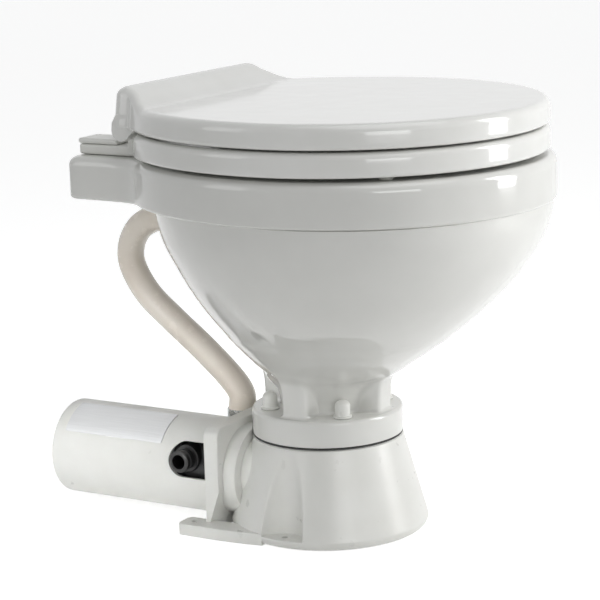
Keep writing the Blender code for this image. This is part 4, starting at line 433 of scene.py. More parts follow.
# What stays inside the hollow: the recesses' and the housing's walls, the plate, and two crossed ribs
kept = [rod(RECESS_RADIUS + 1.3 * FOOT_WALL, -0.012, CONE_HEIGHT, centre=(side * RECESS_CENTRE, 0, 0))
        for side in (1, -1)]
kept += [rod(0.0205, 0.010, 0.070, "Y", PUMP_LINE), rod(0.0350, 0.054, 0.089, "Y", PUMP_LINE),
         rod(0.0140, PUMP_X, 0.0765, "X", BRANCH_LINE),
         block((-FOOT_RADIUS, 0.068, -0.012), (FOOT_RADIUS, FOOT_RADIUS, 0.0895)),
         block((-FOOT_RADIUS, -0.005, -0.012), (FOOT_RADIUS, 0.005, 0.022)),
         block((-0.005, -FOOT_RADIUS, -0.016), (0.005, FOOT_RADIUS, 0.0195))]
hollow = shape_with(hollow, cut=kept)
cuts = [block((-0.12, -0.12, -0.03), (0.12, 0.13, 0.0)), rod(0.0681, CONE_HEIGHT, 0.101, steps=128), hollow,
        rod(SUMP_RADIUS, 0.022, 0.0895), rod(0.016, 0.0133, 0.062, "Y", PUMP_LINE),
        rod(0.031, 0.058, 0.089, "Y", PUMP_LINE), rod(0.010, -0.0125, 0.0885, "X", BRANCH_LINE)]
for side in (1, -1):
    cuts.append(rod(SCREW_HOLE, -0.004, 0.013, centre=(side * 0.0790, 0, 0), steps=24))
    cuts.append(rod(SCREW_HOLE, -0.004, 0.0145, centre=(side * 0.0785, 0.095, 0), steps=24))
bolt_spots = arc(0, 0, BOLT_CIRCLE, 45, 315, 3)


def bolt_holes(start, end):
    """The four bowl bolts' holes between two heights."""
    return [rod(BOLT_HOLE, start, end, centre=(x, y, 0), steps=24) for x, y in bolt_spots]


foot = shape_with(foot, [plate, housing, housing_neck, branch, *lugs], cuts + bolt_holes(0.0735, 0.0895))
keep("foot_with_bracket", foot, plastic, "moulding", "base")


# Gasket: a flat ring punched from black rubber sheet, squeezed between the foot and the bowl, with
# a hole for each bolt.
# Rubber: nearly matt, with a fine tooth and a grey bloom
rubber = finished("black_rubber_matt", {"Roughness": 0.6, "IOR": 1.52}, (9, "1d1d1c", "2b2b2a", 5), None,
                  [(0.9, 0.02, 2)])
gasket = turned([(0.0402, 0.0858), (0.0666, 0.0858), (0.0671, 0.0862), (0.0672, 0.0866), (0.0671, 0.0870),
                 (0.0666, 0.0874), (0.0402, 0.0874)], steps=128)
gasket = shape_with(gasket, cut=bolt_holes(0.080, 0.090))
keep("gasket_under_bowl", gasket, rubber, "seal_rubber", "base_gasket")


# Bowl: one slip-cast piece of vitreous china, glazed all over, with a round flange on the gasket,
# four pillars round its neck, a deep belly, a banded rim and a flat deck behind for the hinges.
FLANGE_RADIUS, FLANGE_BOTTOM, FLANGE_TOP, FLANGE_EDGE = 0.0675, 0.0877, 0.1110, 0.003
RIM_TOP, BAND_BOTTOM, BAND_EDGE, BAND_TOP_EDGE = 0.338, 0.300, 0.003, 0.008
BAND_HALF, BAND_FRONT, BAND_CENTRE_Y = 0.17199, 0.179, -0.0305
FRONT_Y, DECK_BACK_Y, DECK_HALF, DECK_LENGTH, DECK_CORNER = -0.2095, 0.200, 0.104, 0.0812, 0.010
NECK, PILLAR_HALF, PILLAR_REACH, PILLAR_TOP, PILLAR_FADE = 0.0415, 0.014, 0.0595, 0.150, 0.03
# Height from the flange to the band, half width, front and back, each as a share of the band's own
BODY_SHARES = ((.185, .355, .322, .279), (.238, .430, .401, .325), (.317, .529, .509, .391),
               (.397, .619, .606, .454), (.503, .727, .717, .526), (.608, .814, .811, .588),
               (.714, .884, .886, .641), (.820, .939, .944, .689), (.926, .974, .976, .713),
               (.997, .983, .983, .720))
# The same for the basin, from the flange to the rim's top: it hangs over a channel that flushes it
BASIN_SHARES = ((1, .812, .866, .561), (1, .779, .835, .533), (.980, .747, .809, .505),
                (.912, .738, .802, .498), (.872, .756, .816, .510), (.855, .826, .874, .565),
                (.819, .878, .907, .600), (.722, .866, .883, .600), (.612, .808, .816, .565),
                (.502, .715, .711, .505), (.392, .593, .578, .425), (.304, .454, .425, .325),
                (.242, .302, .272, .220), (.198, .204, .172, .170))
OVAL_SHARE, PILLAR_POWER, DRAIN_RADIUS = 0.48, 7, 0.030


def flowing(points, steps, power=0.5):
    """Points on a smooth curve through the given ones, evenly many between each two."""
    points = [np.array(p, float) for p in points]
    ends = [points[0] * 2 - points[1]] + points + [points[-1] * 2 - points[-2]]
    out = []
    for a, b, c, d in zip(ends, ends[1:], ends[2:], ends[3:]):
        before, span, after = (np.linalg.norm(q - p) ** power for p, q in ((a, b), (b, c), (c, d)))
        lead = ((b - a) / before - (c - a) / (before + span) + (c - b) / span) * span
        trail = ((c - b) / span - (d - b) / (span + after) + (d - c) / after) * span
        for i in range(steps):
            t = i / steps
            out.append(b * (2 * t ** 3 - 3 * t ** 2 + 1) + lead * (t ** 3 - 2 * t ** 2 + t)
                       + c * (3 * t ** 2 - 2 * t ** 3) + trail * (t ** 3 - t ** 2))
    return out + [points[-1]]


def oval_side(half, front, back, centre, turn, steps=96):
    """The right side of an oval, from its front to an angle past its widest place."""
    out = []
    for i in range(steps + 1):
        angle = -pi / 2 + (pi / 2 + turn) * i / steps
        out.append((half * cos(angle), centre + (front if angle < 0 else back) * sin(angle)))
    return out


def both_sides(right):
    """An outline closed by the mirror of its right side."""
    return right + [(-x, y) for x, y in reversed(right[1:-1])]


def tailed(half, front, centre, meet, tail_half, tail_y, corner):
    """An oval whose sides run on into a straight tail, as the rim and the lid have."""
    turn = acos(meet[0] / half)
    out = oval_side(half, front, (meet[1] - centre) / sin(turn), centre, turn)
    straight = tail_y - corner - meet[1]
    bend = flowing([out[-9], out[-1], (tail_half * 1.035, meet[1] + straight * 0.20),
                    (tail_half * 1.008, meet[1] + straight * 0.45), (tail_half, tail_y - corner),
                    (tail_half, tail_y)], 7)
    out += [tuple(p) for p in bend[8:29]]
    out += arc(tail_half - corner, tail_y - corner, corner, 0, 90, 10)
    return both_sides(out + [((tail_half - corner) * (1 - i / 12), tail_y) for i in range(1, 13)])


def in_directions(outline, centre_y, directions):
    """The points where rays from a centre in given directions meet an outline."""
    angles = np.array([atan2(y - centre_y, x) for x, y in outline])
    reaches = np.array([sqrt(x * x + (y - centre_y) ** 2) for x, y in outline])
    order = np.argsort(angles)
    found = np.interp(directions, angles[order], reaches[order], period=2 * pi)
    return [(r * cos(a), centre_y + r * sin(a)) for r, a in zip(found, directions)]


def at(outline, z):
    """A flat outline set at a height."""
    return [(x, y, z) for x, y in outline]


def between(low, high, shares):
    """Rings at shares of the way from one ring to another."""
    return [[tuple(np.array(p) * (1 - s) + np.array(q) * s) for p, q in zip(low, high)] for s in shares]


def thinned(angles, least):
    """Sorted directions with those dropped that crowd the one before."""
    out = []
    for angle in sorted(angles):
        if not out or angle - out[-1] > least:
            out.append(angle)
    return out


def deck_outline(inset):
    """The rim with its deck in plan, drawn in by an inset."""
    tail_half = DECK_HALF - inset
    meet = (tail_half * 1.10, DECK_BACK_Y - DECK_LENGTH - inset * 0.6)
    return tailed(BAND_HALF - inset, BAND_FRONT - inset, BAND_CENTRE_Y, meet, tail_half, DECK_BACK_Y - inset,
                  DECK_CORNER)


# Directions for the bowl's rings: the deck's own corners, and close ones across the four pillars
bowl_angles = [atan2(y - BAND_CENTRE_Y, x) for x, y in deck_outline(0)]
for pillar in range(-2, 3):
    fan = [pillar * pi / 2 + radians(i * 0.9) for i in range(-27, 28)]
    bowl_angles += [angle for angle in fan if -pi < angle <= pi]
bowl_angles = thinned(bowl_angles, radians(0.28))


def deck_ring(inset, z):
    """The rim's ring at an inset and a height."""
    return at(in_directions(deck_outline(inset), BAND_CENTRE_Y, bowl_angles), z)


def oval_ring(section):
    """One level ring from its height, half width, front, back and the share of its widest place."""
    z, half, front, back, share = section
    centre = front + (back - front) * share
    out = []
    for angle in bowl_angles:
        reach = centre - front if sin(angle) < 0 else back - centre
        r = 1 / sqrt((cos(angle) / half) ** 2 + (sin(angle) / reach) ** 2)
        out.append((r * cos(angle), centre + r * sin(angle), z))
    return out


def round_section(radius, z):
    """A round section in the same terms as an oval one."""
    return (z, radius, -radius, radius, 0.5)


def with_pillars(ring, grow, soft):
    """The ring pushed out where the four pillars stand, with soft corners into them."""
    out = []
    for x, y, z in ring:
        drop = max(0.0, z - PILLAR_TOP)
        if drop > PILLAR_FADE:
            out.append((x, y, z))
            continue
        angle, reach = atan2(y, x), sqrt(x * x + y * y)
        turn = (angle + pi / 4) % (pi / 2) - pi / 4
        pillar = ((abs(sin(turn)) / (PILLAR_HALF + grow)) ** PILLAR_POWER
                  + (cos(turn) / (PILLAR_REACH + grow - drop)) ** PILLAR_POWER) ** (-1 / PILLAR_POWER)
        far = (reach + pillar + sqrt((reach - pillar) ** 2 + soft ** 2)) / 2
        out.append((far * cos(angle), far * sin(angle), z))
    return out


def sections_up(shares, top):
    """Oval sections from shares of the band's own size, with heights from the flange to a top."""
    return [(FLANGE_TOP + (top - FLANGE_TOP) * height, BAND_HALF * half, FRONT_Y * front,
             DECK_BACK_Y * back, OVAL_SHARE) for height, half, front, back in shares]


def flange_ring(inset, z):
    """The flange's ring at an inset and a height."""
    return oval_ring(round_section(FLANGE_RADIUS - inset, z))


side_low, side_height = FLANGE_BOTTOM + 0.001, 0.0193
rings = [flange_ring(0.001, FLANGE_BOTTOM), flange_ring(0.0003, FLANGE_BOTTOM + 0.0003)]
rings += [flange_ring(0, side_low + side_height * share) for share in (0, 0.33, 0.67)]
rings += [flange_ring(FLANGE_EDGE * (1 - c), FLANGE_TOP - FLANGE_EDGE * (1 - s)) for s, c in quarter_turn(6)]
foot_ring = with_pillars(oval_ring(round_section(NECK + FLANGE_EDGE, FLANGE_TOP)), FLANGE_EDGE, 0.002)
rings += between(rings[-1], foot_ring, (0.25, 0.5, 0.75, 0.95))
for s, c in quarter_turn(6)[1:]:
    fillet = FLANGE_EDGE * (1 - s)
    ring = oval_ring(round_section(NECK + fillet, FLANGE_TOP + FLANGE_EDGE * (1 - c)))
    rings.append(with_pillars(ring, fillet, 0.002))
sections = [round_section(NECK, 0.1140), round_section(NECK + 0.0012, 0.1215),
            round_section(NECK + 0.0042, 0.1295), round_section(0.0520, 0.1378)]
for section in flowing(sections + sections_up(BODY_SHARES, BAND_BOTTOM), 5)[1:]:
    soft = 0.002 + 0.012 * min(1.0, max(0.0, (section[0] - 0.120) / 0.03))
    rings.append(with_pillars(oval_ring(section), 0, soft))
rings += between(rings[-1], deck_ring(BAND_EDGE, BAND_BOTTOM), (0.25, 0.5, 0.75))
rings += [deck_ring(BAND_EDGE * (1 - s), BAND_BOTTOM + BAND_EDGE * (1 - c)) for s, c in quarter_turn(5)]
band_height = RIM_TOP - BAND_TOP_EDGE - BAND_BOTTOM - BAND_EDGE
rings += [deck_ring(0, BAND_BOTTOM + BAND_EDGE + band_height * share) for share in (0.2, 0.4, 0.6, 0.8)]
rings += [deck_ring(BAND_TOP_EDGE * (1 - c), RIM_TOP - BAND_TOP_EDGE * (1 - s)) for s, c in quarter_turn(8)]
basin = [oval_ring((min(s[0], RIM_TOP), *s[1:])) for s in flowing(sections_up(BASIN_SHARES, RIM_TOP), 4)]
rings += between(rings[-1], basin[0], (0.2, 0.4, 0.6, 0.8)) + basin
rings.append(oval_ring(round_section(DRAIN_RADIUS + 0.0005, 0.1490)))
rings += [oval_ring(round_section(DRAIN_RADIUS, z)) for z in (0.145, 0.130, 0.115, 0.100, FLANGE_BOTTOM)]
rings += between(rings[-1], rings[0], (0.33, 0.67))
bowl = skin(rings, close=True)

INLET_Z, DECK_BOLT_Y, BLOCK_MIDDLE, DECK_FLOOR = 0.268, 0.172, 0.0755, 0.320
INLET_LINE = (0, 0, INLET_Z)
boss = turned([(0, 0.1245), (0.0250, 0.1245), (0.0222, 0.1310), (0.0200, 0.1345), (0.0190, 0.138),
               (0.0190, 0.1448), (0.0186, 0.1456), (0.0178, 0.1460), (0, 0.1460)], "Y", INLET_LINE)
cuts = [rod(0.0124, 0.110, 0.150, "Y", INLET_LINE)]
cuts += bolt_holes(0.0837, 0.115)
# Each hinge bolt's hole goes down into a wide pocket in the deck's underside, for the wing nut
cuts += [turned([(0, 0.296), (0.0188, 0.296), (0.0180, 0.3012), (0.0180, 0.3185), (0.0165, DECK_FLOOR),
                 (0.0060, DECK_FLOOR), (0.0060, 0.342), (0, 0.342)], "Z",
                (side * BLOCK_MIDDLE, DECK_BOLT_Y, 0), 48) for side in (1, -1)]
bowl = shape_with(bowl, [boss], cuts)

# Vitreous china: a thick clear glaze on a white body, mirror-smooth, with the slight swim that
# fired glaze has over some centimetres, and a little colder and thinner in tone by patches
china = finished("vitreous_china_glazed", {"Roughness": 0.07, "IOR": 1.52, "Coat Weight": 0.35,
                                           "Coat Roughness": 0.03, "Coat IOR": 1.5},
                 (70, "dcdcd8", "e2e2de", 3), (25, 0.05, 0.10), [(7, 0.004, 1), (30, 0.06, 1)])
keep("china_bowl", bowl, china, "china", "bowl")


# Bowl bolts: four steel bolts go up from under the foot through the gasket and the flange, and a
# white moulded cap nut with a round flange closes each one on top.
NUT_RADIUS, NUT_DOME, NUT_CYLINDER, BOLT_RADIUS, THREAD_PITCH = 0.0066, 0.005, 0.0105, 0.0028, 0.001
# Stainless steel, drawn: bright, with a fine grain and small duller patches
steel = finished("stainless_steel_drawn",
                 {"Metallic": 1.0, "Roughness": 0.28, "Base Color": linear("c6c7c6")},
                 (6, "b9bab9", "cfd0cf", 5), (2, 0.20, 0.36), [(0.8, 0.006, 2)])
nut_z = FLANGE_TOP + 0.0003
profile = [(NUT_RADIUS * s, nut_z + NUT_CYLINDER + NUT_DOME * c) for s, c in quarter_turn(8)]
profile += [(NUT_RADIUS, nut_z + 0.0030), (0.0069, nut_z + 0.0021), (0.0078, nut_z + 0.0018),
            (0.0081, nut_z + 0.0015), (0.0082, nut_z + 0.0009), (0.0082, nut_z + 0.0002), (0.0080, nut_z),
            (0.0033, nut_z), (0.0033, nut_z + 0.010), (0, nut_z + 0.010)]
for number, (x, y) in enumerate(bolt_spots, 1):
    keep(f"cap_nut_{number}", turned(profile, centre=(x, y, 0), steps=40), plastic, "moulding",
         f"bowl_cap_nut_{number}")
    low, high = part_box(f"bowl_bolt_{number}")
    head_top = 0.0772
    head = turned([(0, low.z), (0.0046, low.z), (0.0052, low.z + 0.0005), (0.0052, head_top), (0, head_top)],
                  centre=(x, y, 0), steps=6)
    shank = [(0, head_top - 0.0005), (BOLT_RADIUS, head_top - 0.0005), (BOLT_RADIUS, head_top + 0.012)]
    while shank[-1][1] < high.z - 1.5 * THREAD_PITCH:
        shank += [(BOLT_RADIUS + 0.0002, shank[-1][1] + THREAD_PITCH / 2),
                  (BOLT_RADIUS - 0.0002, shank[-1][1] + THREAD_PITCH)]
    shank = turned(shank + [(0.0024, high.z), (0, high.z)], centre=(x, y, 0), steps=20)
    keep(f"bowl_bolt_steel_{number}", shape_with(head, [shank]), steel, "steel",
         f"bowl_bolt_{number}")


# Flush line: a white barbed spigot pushed through a rubber seal into the bowl's back, and a short
# moulded PVC hose that comes up from the pump. A worm-screw clamp holds each end of the hose.
HOSE_START_Y, HOSE_END_Z, HOSE_RADIUS, HOSE_BORE = 0.1509, 0.080, 0.0125, 0.0098
OUTLET_X, OUTLET_Y, HOSE_BACK_Y = 0.0190, 0.1030, 0.207
OUTLET_LINE = (OUTLET_X, OUTLET_Y, 0)
# Across, back and height of each point that the hose passes through
HOSE_SHARES = ((0, .865, .995), (0, .947, .944), (.053, 1, .851), (.105, 1, .745), (.263, .932, .609),
               (.474, .814, .484), (.737, .679, .351), (.947, .553, .215))
CLAMP_HALF, CLAMP_OUTER, SCREW_LOW = 0.0045, 0.0139, 0.01335


def barbed(start, ridges, root, tip, pitch):
    """Profile of a hose end: saw-tooth ridges, each with a worn-round crest."""
    out = []
    for i in range(ridges):
        foot = start + i * pitch
        out += [(root, foot), (tip - 0.0001, foot + pitch * 0.12), (tip, foot + pitch * 0.22),
                (root, foot + pitch * 0.92)]
    return out


def hoop(middle, side, over, radius, count):
    """A round ring of points about a middle, in the plane of two directions."""
    turns = [2 * pi * k / count for k in range(count)]
    return [tuple(middle + (side * cos(t) + over * sin(t)) * radius) for t in turns]


seal = turned([(0.0160, 0.1483), (0.0165, 0.1480), (0.0165, 0.1466), (0.0160, 0.1463), (0.0121, 0.1463),
               (0.0121, 0.1290), (0.0091, 0.1290), (0.0091, 0.1483)], "Y", INLET_LINE, 64)
keep("inlet_seal", seal, rubber, "seal_rubber", "bowl_inlet_seal")
spigot = [(0.0068, 0.1290), (0.0088, 0.1290), (0.0088, 0.1486), (0.0161, 0.1486), (0.0165, 0.1490),
          (0.0165, 0.1502), (0.0161, 0.1506), (0.0088, 0.1506)]
spigot += barbed(0.1549, 3, 0.0088, 0.0092, 0.0040) + [(0.0086, 0.1669), (0.0068, 0.1669)]
keep("inlet_spigot", turned(spigot, "Y", INLET_LINE, 64), plastic, "moulding",
     "bowl_inlet_spigot")

# Plasticised PVC, extruded and heat-formed: ivory, half glossy, a touch deeper in tone by patches
hose_pvc = finished("ivory_pvc_extruded", {"Roughness": 0.22, "IOR": 1.53, "Coat Weight": 0.2,
                                           "Coat Roughness": 0.12},
                    (40, "e6dccf", "eee6da", 3), (12, 0.18, 0.30), [(3, 0.01, 2), (22, 0.10, 1)])
fall = INLET_Z - HOSE_END_Z
stops = [(0, HOSE_START_Y, INLET_Z), (0, HOSE_START_Y + 0.016, INLET_Z)]
stops += [(OUTLET_X * x, HOSE_BACK_Y * y, HOSE_END_Z + fall * z) for x, y, z in HOSE_SHARES]
stops += [(OUTLET_X, OUTLET_Y, z) for z in (0.105, 0.0925, HOSE_END_Z)]
route = [Vector(p) for p in flowing(stops, 10, 0)]
last = len(route) - 1
outer, inner = [], []
side = Vector((1, 0, 0))
for i, spot in enumerate(route):
    ahead = (route[min(i + 1, last)] - route[max(i - 1, 0)]).normalized()
    side = (side - ahead * side.dot(ahead)).normalized()
    over = ahead.cross(side)
    outer.append(hoop(spot, side, over, HOSE_RADIUS - (0.0005 if i in (0, last) else 0), 40))
    inner.append(hoop(spot, side, over, HOSE_BORE, 40))
hose = skin(outer + inner[::-1], close=True)
keep("flush_hose_formed", hose, hose_pvc, "hose", "flush_hose")

# Each clamp is made standing on its axis, with the screw's box on the +X side. For the upper one
# Z then goes to Y and X goes to Z, so its box sits on top of the hose
lie_back = Matrix(((0, 1, 0), (0, 0, 1), (1, 0, 0)))
for name, turn_by, centre in (("upper", lie_back, (0, HOSE_START_Y + 0.007, INLET_Z)),
                              ("lower", Matrix.Identity(3), (OUTLET_X, OUTLET_Y, HOSE_END_Z + 0.007))):
    band = turned([(0.0128, -CLAMP_HALF), (0.0136, -CLAMP_HALF), (CLAMP_OUTER, -0.0042),
                   (CLAMP_OUTER, 0.0042), (0.0136, CLAMP_HALF), (0.0128, CLAMP_HALF)], steps=72)
    box = block((SCREW_LOW, -0.0080, -0.00425), (SCREW_LOW + 0.0065, 0.0080, 0.00425), 0.0009)
    screw = turned([(0, -0.0110), (0.0024, -0.0110), (0.0030, -0.0104), (0.0030, -0.0085), (0.0022, -0.0080),
                    (0.0022, 0.0086), (0.0026, 0.0088), (0.0030, 0.0092), (0.0030, 0.0106), (0.0027, 0.0110),
                    (0, 0.0110)], "Y", (SCREW_LOW + 0.00325, 0, 0), 24)
    slot = block((SCREW_LOW + 0.00285, -0.0125, -0.0030), (SCREW_LOW + 0.00365, -0.0100, 0.0030))
    grooves = bmesh.new()
    for i in range(-9, 10):
        lay = Matrix.Translation((CLAMP_OUTER, 0, 0)) @ Matrix.Rotation(0.35, 4, "X")
        lay = Matrix.Rotation(pi + i * 0.22, 4, "Z") @ lay @ Matrix.Diagonal((0.0010, 0.0008, 0.0056, 1))
        bmesh.ops.create_cube(grooves, size=1, matrix=lay)
    clamp = shape_with(band, [box, screw], [slot, grooves])
    bmesh.ops.rotate(clamp, verts=clamp.verts, cent=(0, 0, 0), matrix=turn_by)
    bmesh.ops.translate(clamp, verts=clamp.verts, vec=centre)
    keep(f"worm_clamp_{name}", clamp, steel, "steel", f"hose_clamp_{name}")


# Pump head: black glass-filled nylon. A round body with its flange holds the flexible impeller, the
# barbed inlet looks out through the cover's window, and the outlet turns up into the hose.
INLET_Y, INLET_HEIGHT, OUTLET_Z, PORT_RADIUS = 0.1105, 0.0630, 0.0560, 0.0066
# Glass-filled nylon: black, low sheen, with the fine swirl that the glass leaves at the skin
nylon = finished("black_nylon_glass_filled", {"Roughness": 0.36, "IOR": 1.54}, (5, "0b0b0b", "131313", 6),
                 (4, 0.28, 0.46), [(1.1, 0.014, 2)])
pump_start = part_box("pump_wear_plate")[1].y + 0.0003
flange_y, flange_end = pump_start + 0.028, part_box("pump_body")[1].y
pump = turned([(0, pump_start), (0.0336, pump_start), (0.0340, pump_start + 0.0004), (0.0340, flange_y),
               (0.0395, flange_y), (0.0399, flange_y + 0.0004), (0.0399, flange_end - 0.0004),
               (0.0395, flange_end), (0, flange_end)], "Y", PUMP_LINE)
inlet = turned([(0, -0.0775), (0.0086, -0.0775), (0.0093, -0.0771), (0.0099, -0.0768), (0.0099, -0.0749),
                (0.0093, -0.0743), (0.0093, -0.0715), (0.0097, -0.0712), (0.0097, -0.0700), (0.0093, -0.0696),
                (0.0093, -0.0645), (0.0120, -0.0645), (0.0125, -0.0640), (0.0125, PUMP_X), (0, PUMP_X)], "X",
               (0, INLET_Y, INLET_HEIGHT), 64)
outlet = rod(0.0093, PUMP_X, OUTLET_X, "X", (0, OUTLET_Y, OUTLET_Z), 48)
knee = turned([(0, 0.0461), (0.0084, 0.0461), (0.0093, 0.0470), (0.0093, 0.0790), (0.0089, 0.0794),
               (0, 0.0794)], "Z", OUTLET_LINE, 48)
hose_end = [(0, OUTLET_Z), (0.0088, OUTLET_Z), (0.0088, 0.0820)] + barbed(0.0822, 3, 0.0086, 0.0091, 0.0042)
hose_end = turned(hose_end + [(0.0080, 0.0960), (0, 0.0960)], "Z", OUTLET_LINE, 48)
cuts = [rod(0.0235, pump_start - 0.004, pump_start + 0.0265, "Y", PUMP_LINE),
        rod(0.0043, pump_start + 0.020, flange_end + 0.004, "Y", PUMP_LINE, 32),
        rod(PORT_RADIUS, -0.0815, PUMP_X, "X", (0, INLET_Y, INLET_HEIGHT), 48),
        rod(PORT_RADIUS, PUMP_X, OUTLET_X + 0.0008, "X", (0, OUTLET_Y, OUTLET_Z), 48),
        rod(PORT_RADIUS, 0.0527, 0.100, "Z", OUTLET_LINE, 48)]
pump = shape_with(pump, [inlet, outlet, knee, hose_end], cuts)
keep("pump_head_body", pump, nylon, "pump_plastic", "pump_body")


# Motor cover: a white moulded cup over pump and motor, clipped to the bracket, with an arched
# window for the inlet, one for the outlet, and a rubber gland where the supply lead came out.
COVER_RADIUS, COVER_WALL, COVER_START_Y, COVER_END_Y, COVER_EDGE = 0.0438, 0.003, 0.0853, 0.2572, 0.002
inner = COVER_RADIUS - COVER_WALL
cover = [(0, COVER_END_Y)] + arc(COVER_RADIUS - COVER_EDGE, COVER_END_Y - COVER_EDGE, COVER_EDGE, 90, 0, 5)
cover += [(COVER_RADIUS, COVER_START_Y + 0.0004), (COVER_RADIUS - 0.0004, COVER_START_Y),
          (inner + 0.0004, COVER_START_Y), (inner, COVER_START_Y + 0.0004), (inner, COVER_END_Y - COVER_WALL),
          (0, COVER_END_Y - COVER_WALL)]
cover = turned(cover, "Y", PUMP_LINE, 144)


def arch(half, y, z, start_x, end_x):
    """A slot from the cover's open end, round at its inner end."""
    open_y = COVER_START_Y - 0.0053
    outline = [(open_y, z - half)] + arc(y, z, half, -90, 90, 30) + [(open_y, z + half)]
    return slab([(start_x, y, z) for y, z in outline], (end_x - start_x, 0, 0))


gland_line = (PUMP_X, 0, 0.028)
cover = shape_with(cover, cut=[arch(0.0155, INLET_Y, INLET_HEIGHT, -0.076, -0.048),
                               arch(0.0175, OUTLET_Y, OUTLET_Z, -0.008, 0.020),
                               rod(0.0062, 0.250, 0.262, "Y", gland_line, 48)])
keep("motor_cover_cup", cover, plastic, "moulding", "motor_cover", soften=0.0005)
gland = turned([(0.0026, 0.2542), (0.0059, 0.2542), (0.0059, 0.2575), (0.0081, 0.2575), (0.0081, 0.2585),
                (0.0078, 0.2591), (0.0070, 0.2605), (0.0036, 0.2605), (0.0028, 0.2600)], "Y", gland_line, 48)
keep("lead_gland", gland, rubber, "seal_rubber", "cable_gland")

# Blank rating plate: thin silver-faced film stuck round the cover's upper side. It is brushed
# along the cover, so the light draws out across it
foil, tree, shader = start_material("silver_film_brushed", {"Metallic": 0.55, "Roughness": 0.34})
place = add_node(tree, "TexCoord").outputs["Object"]
streaks = add_node(tree, "Mapping", {"Vector": place, "Scale": (2200.0, 30.0, 2200.0)})
noise = add_node(tree, "TexNoise", {"Vector": streaks.outputs[0], "Scale": 1.0, "Detail": 3.0})
colours = {"Fac": noise.outputs["Fac"], "Color1": linear("cfd0d1"), "Color2": linear("e6e7e8")}
tree.links.new(add_node(tree, "MixRGB", colours).outputs[0], shader.inputs["Base Color"])
bump = add_node(tree, "Bump", {"Height": noise.outputs["Fac"], "Distance": 0.000008, "Strength": 1.0})
tree.links.new(bump.outputs[0], shader.inputs["Normal"])
FOIL_START_Y, FOIL_LENGTH, FOIL_FROM, FOIL_TO, FOIL_CORNER = 0.137, 0.107, 100, 147, 0.0025
band = arc(PUMP_X, PUMP_Z, COVER_RADIUS + 0.0003, FOIL_FROM, FOIL_TO, 32)
band += arc(PUMP_X, PUMP_Z, COVER_RADIUS + 0.0009, FOIL_TO, FOIL_FROM, 32)
film = slab([(x, FOIL_START_Y, z) for x, z in band], (0, FOIL_LENGTH, 0))
corners = [e for e in film.edges if abs((e.verts[1].co - e.verts[0].co).normalized().y) < 0.1
           and e.calc_length() < 0.0008]
rounded(film, corners, FOIL_CORNER, 5, False)
keep("blank_rating_plate", film, foil, "label", "label_plate")


# Discharge: a white elbow swivels on the housing's branch over an O-ring, with a barbed leg for the
# waste hose. Inside it a rubber joker valve lets nothing back.
ELBOW_BORE, ELBOW_BEND, ELBOW_TURN_X = 0.0105, 0.017, 0.0848
ELBOW_SOCKET, ELBOW_WALL, LEG_RADIUS = 0.0118, 0.0030, 0.0130
elbow_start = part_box("discharge_elbow")[0].x


def bent(straight, radius, count, steps, end_y):
    """A round bar along the elbow: straight stations of place and radius, the bend, and on to an end."""
    up = Vector((0, 0, 1))
    rings = [hoop(Vector((x, BRANCH_Y, BRANCH_Z)), Vector((0, 1, 0)), up, r, count) for x, r in straight]
    for s, c in quarter_turn(steps):
        middle = Vector((ELBOW_TURN_X + ELBOW_BEND * s, BRANCH_Y + ELBOW_BEND * (1 - c), BRANCH_Z))
        rings.append(hoop(middle, Vector((-s, c, 0)), up, radius, count))
    rings.append([(x, end_y, z) for x, y, z in rings[-1]])
    return skin(rings, caps=True)


outer = ELBOW_SOCKET + ELBOW_WALL
places = [elbow_start + (ELBOW_TURN_X - elbow_start) * i / 4 for i in range(4)]
elbow = bent(list(zip(places, (outer - 0.0005, outer, outer, outer))), outer, 64, 16, 0.0915)
leg = [(0, 0.0800), (LEG_RADIUS, 0.0800), (LEG_RADIUS, 0.1110)]
leg += barbed(0.1112, 3, LEG_RADIUS, 0.0136, 0.0048) + [(0.0126, 0.1260), (0, 0.1260)]
leg = turned(leg, "Y", (ELBOW_TURN_X + ELBOW_BEND, 0, BRANCH_Z), 64)
way = bent([(0.0808, ELBOW_BORE), (0.0828, ELBOW_BORE)], ELBOW_BORE, 48, 12, 0.130)
socket = rod(ELBOW_SOCKET, elbow_start - 0.004, ELBOW_TURN_X, "X", BRANCH_LINE)
keep("discharge_elbow_barbed", shape_with(elbow, [leg], [way, socket]), plastic, "moulding",
     "discharge_elbow", body="discharge_elbow")


# Seat: moulded wood, enamelled all over in a thick glossy white, a ring with a sloped inner edge,
# two ears for the hinge pins behind, and soft clear pads under it that rest on the rim.
SEAT_BOTTOM, SEAT_TOP, SEAT_HALF, SEAT_FRONT, SEAT_CENTRE_Y = 0.3415, 0.3620, 0.17199, 0.173, -0.030
SEAT_TAIL_Y, SEAT_CORNER, SEAT_LOW_EDGE, SEAT_TOP_EDGE = 0.1225, 0.010, 0.003, 0.006
OPENING_HALF, OPENING_REACH, OPENING_Y, LIP, LIP_DEPTH = 0.101, 0.115, -0.035, 0.014, 0.0120
LID_TAIL_HALF, LID_TAIL_Y, LID_TAIL_LENGTH = 0.108, 0.1455, 0.0257
PIVOT_Y, PIVOT_Z, PIN_HOLE = 0.136, 0.3635, 0.0033
PIVOT_LINE = (0, PIVOT_Y, PIVOT_Z)
meet = (LID_TAIL_HALF * 1.055, LID_TAIL_Y - LID_TAIL_LENGTH)
seat_back = (meet[1] - SEAT_CENTRE_Y) / sin(acos(meet[0] / SEAT_HALF))


